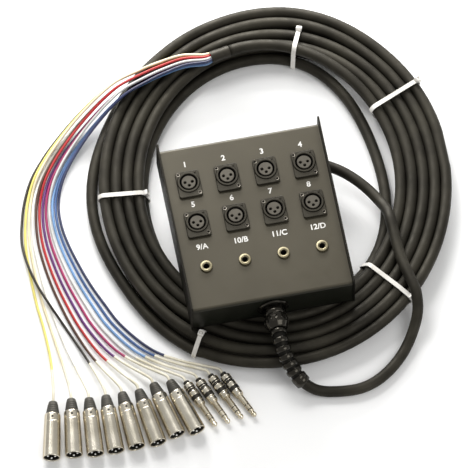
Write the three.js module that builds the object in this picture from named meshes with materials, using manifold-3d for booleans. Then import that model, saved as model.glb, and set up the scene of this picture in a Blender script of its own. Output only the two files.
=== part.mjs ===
// A stage box snake: a steel stage box, its wound multicore cable and a fan of tails with plugs.
// Millimetres. X runs along the panel, Y to its rear edge, Z up, from the middle of the panel's face.
import * as THREE from "three";
import { mergeVertices } from "three/addons/utils/BufferGeometryUtils.js";
import Module from "manifold-3d";

const wasm = await Module();
wasm.setup();

// Clearances
const seatGap = 0.3;
const overrun = 4;
const mergeReach = 0.0001;

// Sides of round shapes
const roundSides = 16;
const smallSides = 12;
const thinSides = 8;
const pinSides = 6;
const leadSides = 8;
const wireSides = 5;

// Box of folded sheet between two cheeks
const boxWidth = 180;
const boxDepth = 196;
const boxHeight = 50;
const sheet = 2;
const bendRadius = 3.5;
const panelRecess = 7;
const cheekRearReach = 6;
const cheekFrontReach = 1.5;
const cheekCorner = 2.5;

// Panel sockets, in two rows of four
const columnCount = 4;
const columnMargin = 26.25;
const clearStripLength = 60;
const rowPitch = 48.5;
const socketRowsY = 27.75;
const flangeWidth = 26;
const flangeHeight = 31;
const flangeThickness = 2.8;
const flangeCorner = 3;
const collarRadius = 12.2;
const collarRise = 1.4;
const collarBevel = 0.5;
const collarOffset = 1.7;
const grooveRadius = 9.8;
const socketBodyRadius = 11.4;
const socketReach = 20;
const socketFloor = 2;
const insertRadius = 7.8;
const insertRecess = 0.7;
const contactRadius = 1.5;
const contactCircle = 4;
const contactDepth = 9;
const contactAngles = [0, Math.PI, Math.PI * 1.5];

// Jack sockets, in one row
const jackRowY = -47.6;
const jackNutRadius = 6.7;
const jackNutHeight = 2.6;
const jackNutBevel = 1;
const jackBoreRadius = 3.2;
const jackThreadRadius = 4.7;
const jackBodyWidth = 13;
const jackBodyLength = 16;
const jackBodyHeight = 19;
const jackBoreDepth = 18;

// Cable gland in the front wall
const glandFlangeRadius = 17;
const glandFlangeThickness = 3;
const glandHexRadius = 12.7;
const glandHexLength = 11.5;
const glandThreadRadius = 8.8;
const glandBoreRadius = 6.6;
const glandThreadBeyondNut = 2;
const locknutRadius = 12.5;
const locknutThickness = 4;
const capRadius = 13.2;
const capLength = 13;
const capStraight = 7.8;
const capBevel = 2.1;
const curlCount = 7;
const curlSteps = 8;
const curlWireRadius = 1;
const curlWireGap = 0.9;
const tailRingRadius = 9.2;
const tailRingLength = 9;
const leadInside = 10;

// Multicore cable and its coil
const cableDiameter = 12;
const strandGap = 0.5;
const strandFlatShare = 0.42;
const strandHeightShare = 0.96;
const layerTurns = 5;
const coilTurns = 9.622;
const coilInnerAcross = 131;
const coilInnerAlong = 150;
const coilMiddleX = 30;
const coilMiddleY = 59;
const coilYaw = THREE.MathUtils.degToRad(-11);
const coilStart = THREE.MathUtils.degToRad(245);
const stepsPerTurn = 24;
const looseReach = 18;
const looseFromShare = 0.2;
const looseToShare = 0.57;
const layerSpreadShare = 1.05;
const startInset = 1.5;
const startInsetTurns = 0.06;
const climbFromTurns = 0.24;
const climbToTurns = 0.1;
const endShift = 8.75;
const endShiftTurns = 0.15;

// Ties round the coil
const tieWidth = 4.8;
const tieThickness = 1;
const tieClearance = 0.9;
const tieHeadWidth = 6.4;
const tieHeadHeight = 4.6;
const tieHeadSeat = 0.3;

// Breakout sleeve, tails and plugs
const sleeveRadius = 6.6;
const sleeveLength = 22;
const sleeveBevel = 0.55;
const tailDiameter = 3;
const tailGap = 0.4;
const tailStraight = 6;
const tailHump = 3.6;
const tailHumpSteepness = 2.2;
const tailReachShare = 0.5;
const tailArrival = 6;
const tailsPerStack = 3;
const tailBendShares = [0.28, 0.52, 0.76, 1];
const micPlugLength = 66;
const micShellRadius = 9.5;
const micShellWall = 1.3;
const micShellDepth = 17;
const micCollarLength = 25;
const micBodyRadius = 8.9;
const micBootLength = 15;
const micBootRadius = 7.4;
const micBootTipRadius = 4.8;
const pinRadius = 1.2;
const pinCircle = 4.2;
const pinLength = 13.5;
const jackPlugLength = 62;
const jackBarrelRadius = 5.8;
const jackBarrelLength = 28;
const jackShaftRadius = 3.175;
const jackTailRadius = 3.6;
const jackTailLength = 4;
const jackTipLength = 8;
const jackBandLength = 7;
const jackGrooveLength = 2.1;
const jackGrooveRadius = 5;
const jackNeckRadius = 2.2;
const jackNeckLength = 2.4;
const jackTipRadius = 3;
const jackTipShoulder = 3.2;
const jackTipEndRadius = 1.1;

// Worked out from the sizes above
const panelDrop = boxHeight - panelRecess;
const columnPitch = (boxWidth - columnMargin * 2) / (columnCount - 1);
const cableRadius = cableDiameter / 2;
const strandPitch = cableDiameter + strandGap;
const strandHalfHeight = cableRadius * strandHeightShare;
const coilLift = cableRadius - strandHalfHeight + tieClearance + tieThickness;
const pileTop = coilLift + strandHalfHeight * 2 + strandPitch;
const boxRise = pileTop + seatGap;
const floorZ = -panelDrop - boxRise;
const shellWidth = boxWidth - (sheet + seatGap) * 2;
const tailRadius = tailDiameter / 2;
const tailPitch = tailDiameter + tailGap;
const frontY = -boxDepth / 2;
const glandZ = -panelDrop / 2;

// Finishes
function finish(color, roughness, metalness) {
  return new THREE.MeshStandardMaterial({ color, roughness, metalness });
}
const panelPaint = finish(0x4b4740, 0.45, 0.3);
const cheekPaint = finish(0x1b1b1c, 0.4, 0.3);
const socketBlack = finish(0x2a2a2c, 0.35, 0.5);
const insertGrey = finish(0x3c3a3a, 0.6, 0);
const nickel = finish(0xd8d2c4, 0.22, 1);
const paleNickel = finish(0xcfc5a8, 0.3, 1);
const glandNylon = finish(0x1a1a1b, 0.4, 0);
const jacketRubber = finish(0x2e2c29, 0.75, 0);
const sleeveBlack = finish(0x222222, 0.6, 0);
const tieNylon = finish(0xd9d6cc, 0.5, 0);
const tailColours = [
  0xe8c53a, 0xe9dcb4, 0xf2f0ea, 0x1c1a1b, 0x4a2b20, 0xb8202c,
  0x5b2a6e, 0xa02a62, 0xd2d2d0, 0x7f9cc4, 0x3f5f92, 0x2a3350,
];

// Booleans
function solidOf(geometry) {
  const loose = geometry.index ? geometry.toNonIndexed() : geometry;
  const bare = new THREE.BufferGeometry();
  bare.setAttribute("position", loose.getAttribute("position"));
  const merged = mergeVertices(bare, mergeReach);
  const mesh = new wasm.Mesh({
    numProp: 3,
    vertProperties: merged.attributes.position.array,
    triVerts: new Uint32Array(merged.index.array),
  });
  return new wasm.Manifold(mesh);
}

function geometryOf(solid) {
  const mesh = solid.getMesh();
  const geometry = new THREE.BufferGeometry();
  geometry.setAttribute("position", new THREE.BufferAttribute(mesh.vertProperties, 3));
  geometry.setIndex(new THREE.BufferAttribute(mesh.triVerts, 1));
  geometry.computeVertexNormals();
  return geometry;
}

function joined(first, ...others) {
  return geometryOf(others.reduce((solid, other) => solid.add(solidOf(other)), solidOf(first)));
}

function cut(body, ...tools) {
  return geometryOf(tools.reduce((solid, tool) => solid.subtract(solidOf(tool)), solidOf(body)));
}

// Basic shapes, all along Z
function block(width, depth, height, x, y, z) {
  return new THREE.BoxGeometry(width, depth, height).translate(x, y, z);
}

function rod(radius, length, sides, x, y, z) {
  return new THREE.CylinderGeometry(radius, radius, length, sides)
    .rotateX(Math.PI / 2)
    .translate(x, y, z);
}

function turned(profile, sides) {
  const points = profile.map(([radius, height]) => new THREE.Vector2(radius, height));
  return new THREE.LatheGeometry(points, sides).rotateX(Math.PI / 2);
}

function roundedOutline(width, height, corner) {
  const x = width / 2;
  const y = height / 2;
  const shape = new THREE.Shape();
  shape.moveTo(corner - x, -y);
  shape.absarc(x - corner, corner - y, corner, -Math.PI / 2, 0);
  shape.absarc(x - corner, y - corner, corner, 0, Math.PI / 2);
  shape.absarc(corner - x, y - corner, corner, Math.PI / 2, Math.PI);
  shape.absarc(corner - x, corner - y, corner, Math.PI, Math.PI * 1.5);
  return shape;
}

function plate(shape, thickness, curveSegments = 3) {
  return new THREE.ExtrudeGeometry(shape, {
    depth: thickness,
    bevelEnabled: false,
    curveSegments,
  });
}

// A profile drawn in Y and Z, extruded along X and centred on it
function acrossX(shape, width, curveSegments) {
  const turn = new THREE.Matrix4().makeBasis(
    new THREE.Vector3(0, 1, 0),
    new THREE.Vector3(0, 0, 1),
    new THREE.Vector3(1, 0, 0),
  );
  return plate(shape, width, curveSegments).applyMatrix4(turn).translate(-width / 2, 0, 0);
}

// Stands a shape that was made along Z on another axis
function aimed(geometry, origin, direction) {
  const turn = new THREE.Quaternion().setFromUnitVectors(
    new THREE.Vector3(0, 0, 1),
    direction.clone().normalize(),
  );
  return geometry.applyQuaternion(turn).translate(origin.x, origin.y, origin.z);
}

// A route whose steps fall on its own points
class Route extends THREE.CatmullRomCurve3 {
  getUtoTmapping(share) {
    return share;
  }
}

function roundSection(radius, sides) {
  const points = [];
  for (let side = 0; side < sides; side++) {
    const angle = (side / sides) * Math.PI * 2;
    points.push(new THREE.Vector2(Math.cos(angle) * radius, Math.sin(angle) * radius));
  }
  return new THREE.Shape(points);
}

function tube(points, radius, sides, stepsPerPoint = 1) {
  return new THREE.ExtrudeGeometry(roundSection(radius, sides), {
    steps: (points.length - 1) * stepsPerPoint,
    bevelEnabled: false,
    extrudePath: new Route(points),
  });
}

const snake = new THREE.Group();

function addPart(name, geometry, material, parent = snake) {
  const mesh = new THREE.Mesh(geometry, material);
  mesh.name = name;
  parent.add(mesh);
  return mesh;
}

function columnX(column) {
  return (column - (columnCount - 1) / 2) * columnPitch;
}

function socketPlaces() {
  const places = [];
  for (const y of [socketRowsY + rowPitch / 2, socketRowsY - rowPitch / 2])
    for (let column = 0; column < columnCount; column++)
      places.push(new THREE.Vector3(columnX(column), y, 0));
  return places;
}

// Edges of the level face at z = 0 that no second triangle of it shares, linked into loops
function topLoops(corners) {
  const next = new Map();
  const edges = new Set(corners.map(([from, to]) => `${from} ${to}`));
  for (const [from, to] of corners) if (!edges.has(`${to} ${from}`)) next.set(from, to);
  const loops = [];
  while (next.size > 0) {
    const loop = [];
    let corner = next.keys().next().value;
    while (next.has(corner)) {
      loop.push(corner);
      const after = next.get(corner);
      next.delete(corner);
      corner = after;
    }
    loops.push(loop);
  }
  return loops;
}

// Gives the bare strip between the two middle socket columns its own faces in the top
function withClearStrip(geometry) {
  const positions = [...geometry.getAttribute("position").array];
  const index = geometry.index.array;
  const kept = [];
  const topEdges = [];
  for (let start = 0; start < index.length; start += 3) {
    const [a, b, c] = index.slice(start, start + 3);
    if ([a, b, c].every((corner) => Math.abs(positions[corner * 3 + 2]) < mergeReach))
      topEdges.push([a, b], [b, c], [c, a]);
    else kept.push(a, b, c);
  }
  const halfWidth = (columnPitch - flangeWidth) / 2 - seatGap;
  const halfLength = clearStripLength / 2;
  const first = positions.length / 3;
  positions.push(-halfWidth, -halfLength, 0, halfWidth, -halfLength, 0);
  positions.push(halfWidth, halfLength, 0, -halfWidth, halfLength, 0);
  const strip = [first, first + 1, first + 2, first + 3];
  const flat = (corner) => new THREE.Vector2(positions[corner * 3], positions[corner * 3 + 1]);
  const loops = topLoops(topEdges);
  const isOutline = (loop) => THREE.ShapeUtils.area(loop.map(flat)) > 0;
  const outline = loops.find(isOutline);
  const holes = [...loops.filter((loop) => !isOutline(loop)), strip];
  const corners = [...outline, ...holes.flat()];
  const faces = THREE.ShapeUtils.triangulateShape(
    outline.map(flat),
    holes.map((hole) => hole.map(flat)),
  );
  for (const face of faces) {
    const [a, b, c] = face.map((place) => corners[place]);
    kept.push(a, ...(THREE.ShapeUtils.area([a, b, c].map(flat)) > 0 ? [b, c] : [c, b]));
  }
  kept.push(first, first + 1, first + 2, first, first + 2, first + 3);
  const retiled = new THREE.BufferGeometry();
  retiled.setAttribute("position", new THREE.Float32BufferAttribute(positions, 3));
  retiled.setIndex(kept);
  retiled.computeVertexNormals();
  return retiled;
}

// Box
function shellProfile() {
  const inner = bendRadius - sheet;
  const front = frontY;
  const rear = -frontY;
  const foot = sheet + seatGap - panelDrop;
  const shape = new THREE.Shape();
  shape.moveTo(front, foot);
  shape.lineTo(front + sheet, foot);
  shape.absarc(front + bendRadius, -bendRadius, inner, Math.PI, Math.PI / 2, true);
  shape.absarc(rear - bendRadius, -bendRadius, inner, Math.PI / 2, 0, true);
  shape.lineTo(rear - sheet, foot);
  shape.lineTo(rear, foot);
  shape.absarc(rear - bendRadius, -bendRadius, bendRadius, 0, Math.PI / 2);
  shape.absarc(front + bendRadius, -bendRadius, bendRadius, Math.PI / 2, Math.PI);
  return shape;
}

function addBox() {
  const holes = socketPlaces().map((place) =>
    rod(socketBodyRadius + seatGap, overrun * 2, roundSides, place.x, place.y + collarOffset, 0),
  );
  for (let column = 0; column < columnCount; column++)
    holes.push(rod(jackThreadRadius + seatGap, overrun * 2, smallSides, columnX(column), jackRowY, 0));
  holes.push(rod(glandThreadRadius + seatGap, overrun * 2, roundSides, 0, 0, 0)
    .rotateX(Math.PI / 2)
    .translate(0, frontY, glandZ));
  const shell = cut(acrossX(shellProfile(), shellWidth, 3), ...holes);
  addPart("panel_shell", withClearStrip(shell), panelPaint);

  const cheekDepth = boxDepth + cheekRearReach + cheekFrontReach;
  for (const [name, side] of [["left_cheek", -1], ["right_cheek", 1]]) {
    const cheek = acrossX(roundedOutline(cheekDepth, boxHeight, cheekCorner), sheet, 2);
    const mesh = addPart(name, cheek, cheekPaint);
    mesh.position.set(
      (side * (boxWidth - sheet)) / 2,
      (cheekRearReach - cheekFrontReach) / 2,
      panelRecess - boxHeight / 2,
    );
  }

  const base = block(shellWidth, boxDepth, sheet, 0, 0, sheet / 2 - panelDrop);
  addPart("base_plate", base, cheekPaint);
}

// Sockets for the microphone plugs
function micSocket() {
  const flange = plate(roundedOutline(flangeWidth, flangeHeight, flangeCorner), flangeThickness, 2)
    .translate(0, -collarOffset, seatGap);
  const top = seatGap + flangeThickness + collarRise;
  const outside = turned([
    [0, -socketReach],
    [socketBodyRadius, -socketReach],
    [socketBodyRadius, seatGap + flangeThickness / 2],
    [collarRadius, seatGap + flangeThickness / 2],
    [collarRadius, top - collarBevel],
    [collarRadius - collarBevel, top],
    [0, top],
  ], roundSides);
  const cupMiddle = (top - socketReach) / 2 + socketFloor;
  const cup = rod(grooveRadius, top + socketReach, roundSides, 0, 0, cupMiddle);
  return cut(joined(flange, outside), cup);
}

function micInsert() {
  const foot = socketFloor + seatGap - socketReach;
  const top = seatGap + flangeThickness + collarRise - insertRecess;
  const body = rod(insertRadius, top - foot, roundSides, 0, 0, (top + foot) / 2);
  const contacts = contactAngles.map((angle) =>
    rod(
      contactRadius,
      contactDepth * 2,
      thinSides,
      Math.cos(angle) * contactCircle,
      Math.sin(angle) * contactCircle,
      top,
    ),
  );
  return cut(body, ...contacts);
}

function jackSocket() {
  const top = seatGap + jackNutHeight;
  const nut = turned([
    [0, seatGap],
    [jackNutRadius, seatGap],
    [jackNutRadius, top - jackNutBevel],
    [jackNutRadius - jackNutBevel, top],
    [0, top],
  ], roundSides);
  const threadLength = jackNutHeight + overrun;
  const thread = rod(jackThreadRadius, threadLength, smallSides, 0, 0, seatGap - overrun / 2);
  const body = block(
    jackBodyWidth,
    jackBodyLength,
    jackBodyHeight,
    0,
    0,
    -sheet - seatGap - jackBodyHeight / 2,
  );
  const boreMiddle = top + (overrun - jackBoreDepth) / 2;
  const bore = rod(jackBoreRadius, jackBoreDepth + overrun, smallSides, 0, 0, boreMiddle);
  return cut(joined(nut, thread, body), bore);
}

function addSockets() {
  const socket = micSocket();
  const insert = micInsert();
  socketPlaces().forEach((place, index) => {
    const seat = new THREE.Group();
    seat.position.set(place.x, place.y + collarOffset, 0);
    snake.add(seat);
    addPart(`mic_socket_${index + 1}`, socket, socketBlack, seat);
    addPart(`mic_insert_${index + 1}`, insert, insertGrey, seat);
  });
  const jack = jackSocket();
  ["a", "b", "c", "d"].forEach((letter, column) => {
    addPart(`jack_socket_${letter}`, jack, paleNickel).position.set(columnX(column), jackRowY, 0);
  });
}

// Route of the lead from the gland, over the coil's right side and back under the box
const capEndY = frontY - seatGap * 2 - glandFlangeThickness - glandHexLength - capLength;
const reliefStart = 3;
const reliefEnd = 9;
const leadFloor = floorZ + cableRadius;
const leadOverCoil = floorZ + pileTop + cableRadius + strandGap;
const leadUnderBox = -panelDrop - seatGap - cableRadius;
const startZ = floorZ + coilLift + strandHalfHeight;

// Coil, in its own frame on the floor
function coilDirection(turn) {
  const angle = coilStart + turn * Math.PI * 2;
  return new THREE.Vector3(Math.cos(angle), Math.sin(angle), 0);
}

function onCoil(turn, aside, height) {
  const out = coilDirection(turn);
  const along = coilInnerAlong + aside;
  return new THREE.Vector3(out.x * (coilInnerAcross + aside), out.y * along, height);
}

function ease(value, from, to) {
  return THREE.MathUtils.smoothstep(value, from, to);
}

// Strands that part to let a tie between them: turn share, first strand moved, and how far
const partedTies = [
  { atShare: 13 / stepsPerTurn, beyond: 3, by: 2.8 },
  { atShare: 20 / stepsPerTurn, beyond: 4.33, by: 6 },
  { atShare: 0, beyond: 3.5, by: 2.2 },
];
const partReachShare = 0.09;

function parting(share, steps) {
  return partedTies.reduce((sum, tie) => {
    const away = Math.abs(share - tie.atShare);
    const reach = Math.min(away, 1 - away) / partReachShare;
    const moved = steps > tie.beyond && reach < 1;
    return moved ? sum + (tie.by * (1 + Math.cos(Math.PI * reach))) / 2 : sum;
  }, 0);
}

// The wound cable's middle line: five turns outward on the floor, then inward on top of them
function coilPoint(turn) {
  const share = turn - Math.floor(turn);
  const steps = turn < layerTurns ? turn : layerTurns * 2 - turn;
  let aside = steps * strandPitch + parting(share, steps);
  let rise = 0;
  if (turn > looseFromShare && turn < looseToShare) {
    const loose = (turn - looseFromShare) / (looseToShare - looseFromShare);
    aside -= looseReach * Math.sin(Math.PI * loose) ** 2;
  }
  if (turn > layerTurns) {
    const outermost = (layerTurns - 1 + share) * strandPitch;
    const innermost = share * strandPitch;
    const past = Math.max(0, steps * strandPitch - outermost, innermost - steps * strandPitch);
    const apart = strandPitch * layerSpreadShare;
    rise = Math.min(strandPitch, Math.sqrt(Math.max(0, apart * apart - past * past)));
  }
  aside -= startInset * (1 - ease(turn, 0, startInsetTurns));
  // The last stretch climbs on top of its neighbour, where the jacket ends
  rise += strandPitch * ease(turn, coilTurns - climbFromTurns, coilTurns - climbToTurns);
  aside += endShift * ease(turn, coilTurns - endShiftTurns, coilTurns);
  return onCoil(turn, aside, coilLift + strandHalfHeight + rise);
}

function coilTangent(turn) {
  const near = 0.002;
  const before = coilPoint(Math.max(0, turn - near));
  return coilPoint(Math.min(coilTurns, turn + near)).sub(before).normalize();
}

// A six-sided strand, flat above and below, swept through the given rings
function sweptStrand(count, pointAt, tangentAt) {
  const flat = cableRadius * strandFlatShare;
  const section = [
    [cableRadius, 0],
    [flat, strandHalfHeight],
    [-flat, strandHalfHeight],
    [-cableRadius, 0],
    [-flat, -strandHalfHeight],
    [flat, -strandHalfHeight],
  ];
  const sides = section.length;
  const positions = [];
  for (let ring = 0; ring < count; ring++) {
    const middle = pointAt(ring);
    const tangent = tangentAt(ring);
    const across = new THREE.Vector3(tangent.y, -tangent.x, 0).normalize();
    for (const [aside, up] of section)
      positions.push(middle.x + across.x * aside, middle.y + across.y * aside, middle.z + up);
  }
  const faces = [];
  for (let ring = 0; ring < count - 1; ring++)
    for (let side = 0; side < sides; side++) {
      const a = ring * sides + side;
      const b = ring * sides + ((side + 1) % sides);
      faces.push(a, a + sides, b, b, a + sides, b + sides);
    }
  const last = (count - 1) * sides;
  for (let side = 1; side < sides - 1; side++) {
    faces.push(0, side, side + 1);
    faces.push(last, last + side + 1, last + side);
  }
  const geometry = new THREE.BufferGeometry();
  geometry.setAttribute("position", new THREE.Float32BufferAttribute(positions, 3));
  geometry.setIndex(faces);
  geometry.computeVertexNormals();
  return geometry;
}

const coilFrame = new THREE.Group();
coilFrame.position.set(coilMiddleX, coilMiddleY, floorZ);
coilFrame.rotation.z = coilYaw;
coilFrame.updateMatrix();
snake.add(coilFrame);

function inWorld(point) {
  return point.clone().applyMatrix4(coilFrame.matrix);
}

function worldDirection(direction) {
  return direction.clone().transformDirection(coilFrame.matrix);
}

function coilRings() {
  const whole = Math.floor(coilTurns * stepsPerTurn);
  const turns = [];
  for (let step = 0; step <= whole; step++) turns.push(step / stepsPerTurn);
  turns.push(coilTurns);
  return turns;
}

// Least gap of the wound cable to itself, on points around each strand
function leastGap(turns) {
  let least = Infinity;
  const centres = turns.map((turn) => coilPoint(turn));
  for (let one = 0; one < centres.length; one++)
    for (let other = one + Math.floor(stepsPerTurn / 2); other < centres.length; other++) {
      const apart = centres[one].clone().sub(centres[other]);
      const flat = Math.hypot(apart.x, apart.y);
      const up = Math.abs(apart.z);
      const slant = cableDiameter * (1 - strandFlatShare);
      const corner = Math.hypot(slant, strandHalfHeight * 2);
      const sideGap = ((flat - cableDiameter) * strandHalfHeight * 2 + up * slant) / corner;
      least = Math.min(least, Math.max(up - strandHalfHeight * 2, sideGap));
    }
  return least;
}

function addCoil() {
  const turns = coilRings();
  const geometry = sweptStrand(
    turns.length,
    (ring) => coilPoint(turns[ring]),
    (ring) => coilTangent(turns[ring]),
  );
  addPart("main_coil", geometry, jacketRubber, coilFrame);
  console.log(`least gap of the coil to itself: ${leastGap(turns).toFixed(2)} mm`);
}

const coilBegin = inWorld(coilPoint(0));
const coilBeginWay = worldDirection(coilTangent(0));

function leadPoints() {
  const beforeCoil = (distance) => coilBegin.clone().addScaledVector(coilBeginWay, -distance);
  const free = [
    [0, frontY + leadInside, glandZ],
    [0, frontY - glandHexLength, glandZ],
    [0, frontY - glandHexLength * 2, glandZ],
    [0, capEndY, glandZ],
    [0.2, -136.5, -23],
    [1.2, -145.5, -27.5],
    [3.4, -154, -33.5],
    [6.6, -161.8, -39.8],
    [10.6, -169, -46],
    [15.6, -175.8, -52],
    [22.5, -181.8, -57.5],
    [31, -186.5, -61.5],
    [43, -190, leadFloor],
    [60, -192.6, leadFloor],
    [78, -192.8, leadFloor],
    [96, -187.8, leadFloor],
    [115, -176, leadFloor],
    [132, -159.5, leadFloor],
    [146, -140, -58.5],
    [155, -121.5, -48.5],
    [157, -102, -38.3],
    [153, -82, leadOverCoil],
    [149, -62, leadOverCoil],
    [147.4, -43, leadOverCoil],
    [147, -26, leadOverCoil],
    [146.4, -14, -36.8],
    [146, -5, -38.8],
    [144, 5, -43],
    [140, 15.5, -47.3],
    [131, 32, leadUnderBox],
    [118, 48.5, leadUnderBox],
    [103, 62, leadUnderBox],
    [84, 73, leadUnderBox],
    [58, 81.5, leadUnderBox],
    [30, 83, leadUnderBox],
    [2, 77, -50.6],
    [-24, 63, -55],
    [-46, 41, -59.6],
    [-61, 13, startZ],
    [-66, -17, startZ],
  ].map(([x, y, z]) => new THREE.Vector3(x, y, z));
  return [...free, beforeCoil(cableDiameter), beforeCoil(seatGap)];
}

// Cable gland: body and locknut in the front wall, then the cap with its curled strain relief
function glandAxis(y) {
  return new THREE.Vector3(0, y, glandZ);
}

function forward() {
  return new THREE.Vector3(0, -1, 0);
}

function addGland(lead) {
  const flangeY = frontY - seatGap;
  const insideLength = sheet + seatGap * 2 + locknutThickness + glandThreadBeyondNut;
  const bodyLength = glandFlangeThickness + glandHexLength;
  const flange = turned([
    [0, 0],
    [glandFlangeRadius, 0],
    [glandFlangeRadius, glandFlangeThickness / 2],
    [glandHexRadius + glandFlangeThickness / 2, glandFlangeThickness],
    [0, glandFlangeThickness],
  ], roundSides);
  const hex = rod(glandHexRadius, bodyLength, 6, 0, 0, bodyLength / 2);
  const thread = rod(glandThreadRadius, insideLength * 2, roundSides, 0, 0, 0);
  const boreLength = (bodyLength + insideLength) * 2 + overrun;
  const bore = rod(glandBoreRadius, boreLength, roundSides, 0, 0, 0);
  const body = cut(joined(flange, hex, thread), bore);
  addPart("gland_body", aimed(body, glandAxis(flangeY), forward()), glandNylon);

  const nut = cut(
    rod(locknutRadius, locknutThickness, 6, 0, 0, 0),
    rod(glandThreadRadius + seatGap, locknutThickness + overrun, roundSides, 0, 0, 0),
  );
  const nutY = frontY + sheet + seatGap + locknutThickness / 2;
  addPart("gland_locknut", aimed(nut, glandAxis(nutY), forward()), glandNylon);

  const capShape = cut(
    turned([
      [0, 0],
      [capRadius, 0],
      [capRadius, capStraight],
      [capRadius - capBevel, capLength],
      [0, capLength],
    ], smallSides),
    rod(glandBoreRadius, capLength * 2 + overrun, roundSides, 0, 0, 0),
  );
  const cap = aimed(capShape, glandAxis(capEndY + capLength), forward());

  const axis = new Route(lead);
  const axisShare = (station) => station / (lead.length - 1);
  const curlRadius = cableRadius + curlWireGap + curlWireRadius;
  const wire = [];
  const wireSteps = curlCount * curlSteps;
  for (let step = 0; step <= wireSteps; step++) {
    const station = reliefStart + (reliefEnd - reliefStart) * (step / wireSteps);
    const middle = axis.getPoint(axisShare(station));
    const tangent = axis.getTangent(axisShare(station));
    const aside = new THREE.Vector3().crossVectors(tangent, new THREE.Vector3(0, 0, 1)).normalize();
    const above = new THREE.Vector3().crossVectors(aside, tangent);
    const angle = (step / curlSteps) * Math.PI * 2;
    middle.addScaledVector(aside, Math.cos(angle) * curlRadius);
    middle.addScaledVector(above, Math.sin(angle) * curlRadius);
    wire.push(middle);
  }
  const curls = tube(wire, curlWireRadius, wireSides);
  const ringShape = cut(
    rod(tailRingRadius, tailRingLength, thinSides, 0, 0, 0),
    rod(glandBoreRadius + seatGap, tailRingLength + overrun, smallSides, 0, 0, 0),
  );
  const ring = aimed(
    ringShape,
    axis.getPoint(axisShare(reliefEnd)),
    axis.getTangent(axisShare(reliefEnd)),
  );
  addPart("strain_relief", joined(cap, curls, ring), glandNylon);
}

// Ties, each drawn tight round the strands that it holds
function hull(points) {
  const sorted = [...points].sort((a, b) => a.x - b.x || a.y - b.y);
  const turnOf = (o, a, b) => (a.x - o.x) * (b.y - o.y) - (a.y - o.y) * (b.x - o.x);
  const half = (list) => {
    const kept = [];
    for (const point of list) {
      while (kept.length > 1 && turnOf(kept.at(-2), kept.at(-1), point) <= 0) kept.pop();
      kept.push(point);
    }
    kept.pop();
    return kept;
  };
  return [...half(sorted), ...half(sorted.reverse())];
}

function bandOutline(centres, reach) {
  const points = [];
  for (const centre of centres)
    for (let side = 0; side < smallSides; side++) {
      const angle = (side / smallSides) * Math.PI * 2;
      points.push(
        new THREE.Vector2(
          centre.x + Math.cos(angle) * reach,
          centre.y + Math.sin(angle) * reach,
        ),
      );
    }
  return hull(points);
}

function addTie(name, atShare, holds) {
  const centres = [];
  for (let turn = atShare; turn < coilTurns; turn++) {
    const steps = turn < layerTurns ? turn : layerTurns * 2 - turn;
    if (!holds(steps)) continue;
    const point = coilPoint(turn);
    const inner = onCoil(turn, 0, 0);
    centres.push(new THREE.Vector2(Math.hypot(point.x - inner.x, point.y - inner.y), point.z));
  }
  const reach = cableRadius + tieClearance;
  const band = new THREE.Shape(bandOutline(centres, reach + tieThickness));
  band.holes.push(new THREE.Path(bandOutline(centres, reach)));
  const strap = plate(band, tieWidth).translate(0, 0, -tieWidth / 2);
  const top = centres.reduce((high, centre) => (centre.y > high.y ? centre : high));
  const head = block(
    tieHeadWidth,
    tieHeadHeight,
    tieHeadWidth,
    top.x,
    top.y + reach + tieHeadHeight / 2 + tieHeadSeat,
    0,
  );
  const out = coilDirection(atShare);
  const up = new THREE.Vector3(0, 0, 1);
  const stand = new THREE.Matrix4().makeBasis(out, up, new THREE.Vector3().crossVectors(out, up));
  const tie = joined(strap, head).applyMatrix4(stand);
  const foot = onCoil(atShare, 0, 0);
  addPart(name, tie, tieNylon, coilFrame).position.copy(foot);
}

function addTies() {
  const [topTie, leftTie, frontTie] = partedTies;
  addTie("cable_tie_1", topTie.atShare, (steps) => steps < topTie.beyond);
  addTie("cable_tie_2", 10 / stepsPerTurn, () => true);
  addTie("cable_tie_3", leftTie.atShare, (steps) => steps < leftTie.beyond);
  addTie("cable_tie_4", frontTie.atShare, (steps) => steps > frontTie.beyond);
  addTie("cable_tie_5", 5 / stepsPerTurn, () => true);
}

// Breakout sleeve on the jacket's end
const coilFinish = inWorld(coilPoint(coilTurns));
const coilFinishWay = worldDirection(coilTangent(coilTurns));

function addSleeve() {
  const sleeve = turned([
    [0, 0],
    [sleeveRadius, 0],
    [sleeveRadius, sleeveLength - sleeveBevel],
    [sleeveRadius - sleeveBevel, sleeveLength],
    [0, sleeveLength],
  ], smallSides);
  const foot = coilFinish.clone().addScaledVector(coilFinishWay, seatGap);
  addPart("breakout_sleeve", aimed(sleeve, foot, coilFinishWay), sleeveBlack);
}

// Plugs, along Z from the cable end
function micPlug() {
  const length = micPlugLength;
  const collarStart = length - micCollarLength;
  const floor = length - micShellDepth;
  const shell = turned([
    [0, 0],
    [micBootTipRadius, 0],
    [micBootRadius, micBootLength],
    [micBodyRadius, micBootLength + micShellWall],
    [micBodyRadius, collarStart],
    [micShellRadius, collarStart + micShellWall],
    [micShellRadius, length],
    [micShellRadius - micShellWall, length],
    [micShellRadius - micShellWall, floor],
    [0, floor],
  ], smallSides);
  const pins = contactAngles.map((angle) =>
    rod(
      pinRadius,
      pinLength + micShellWall,
      pinSides,
      Math.cos(angle) * pinCircle,
      Math.sin(angle) * pinCircle,
      floor + (pinLength - micShellWall) / 2,
    ),
  );
  return joined(shell, ...pins);
}

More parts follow.
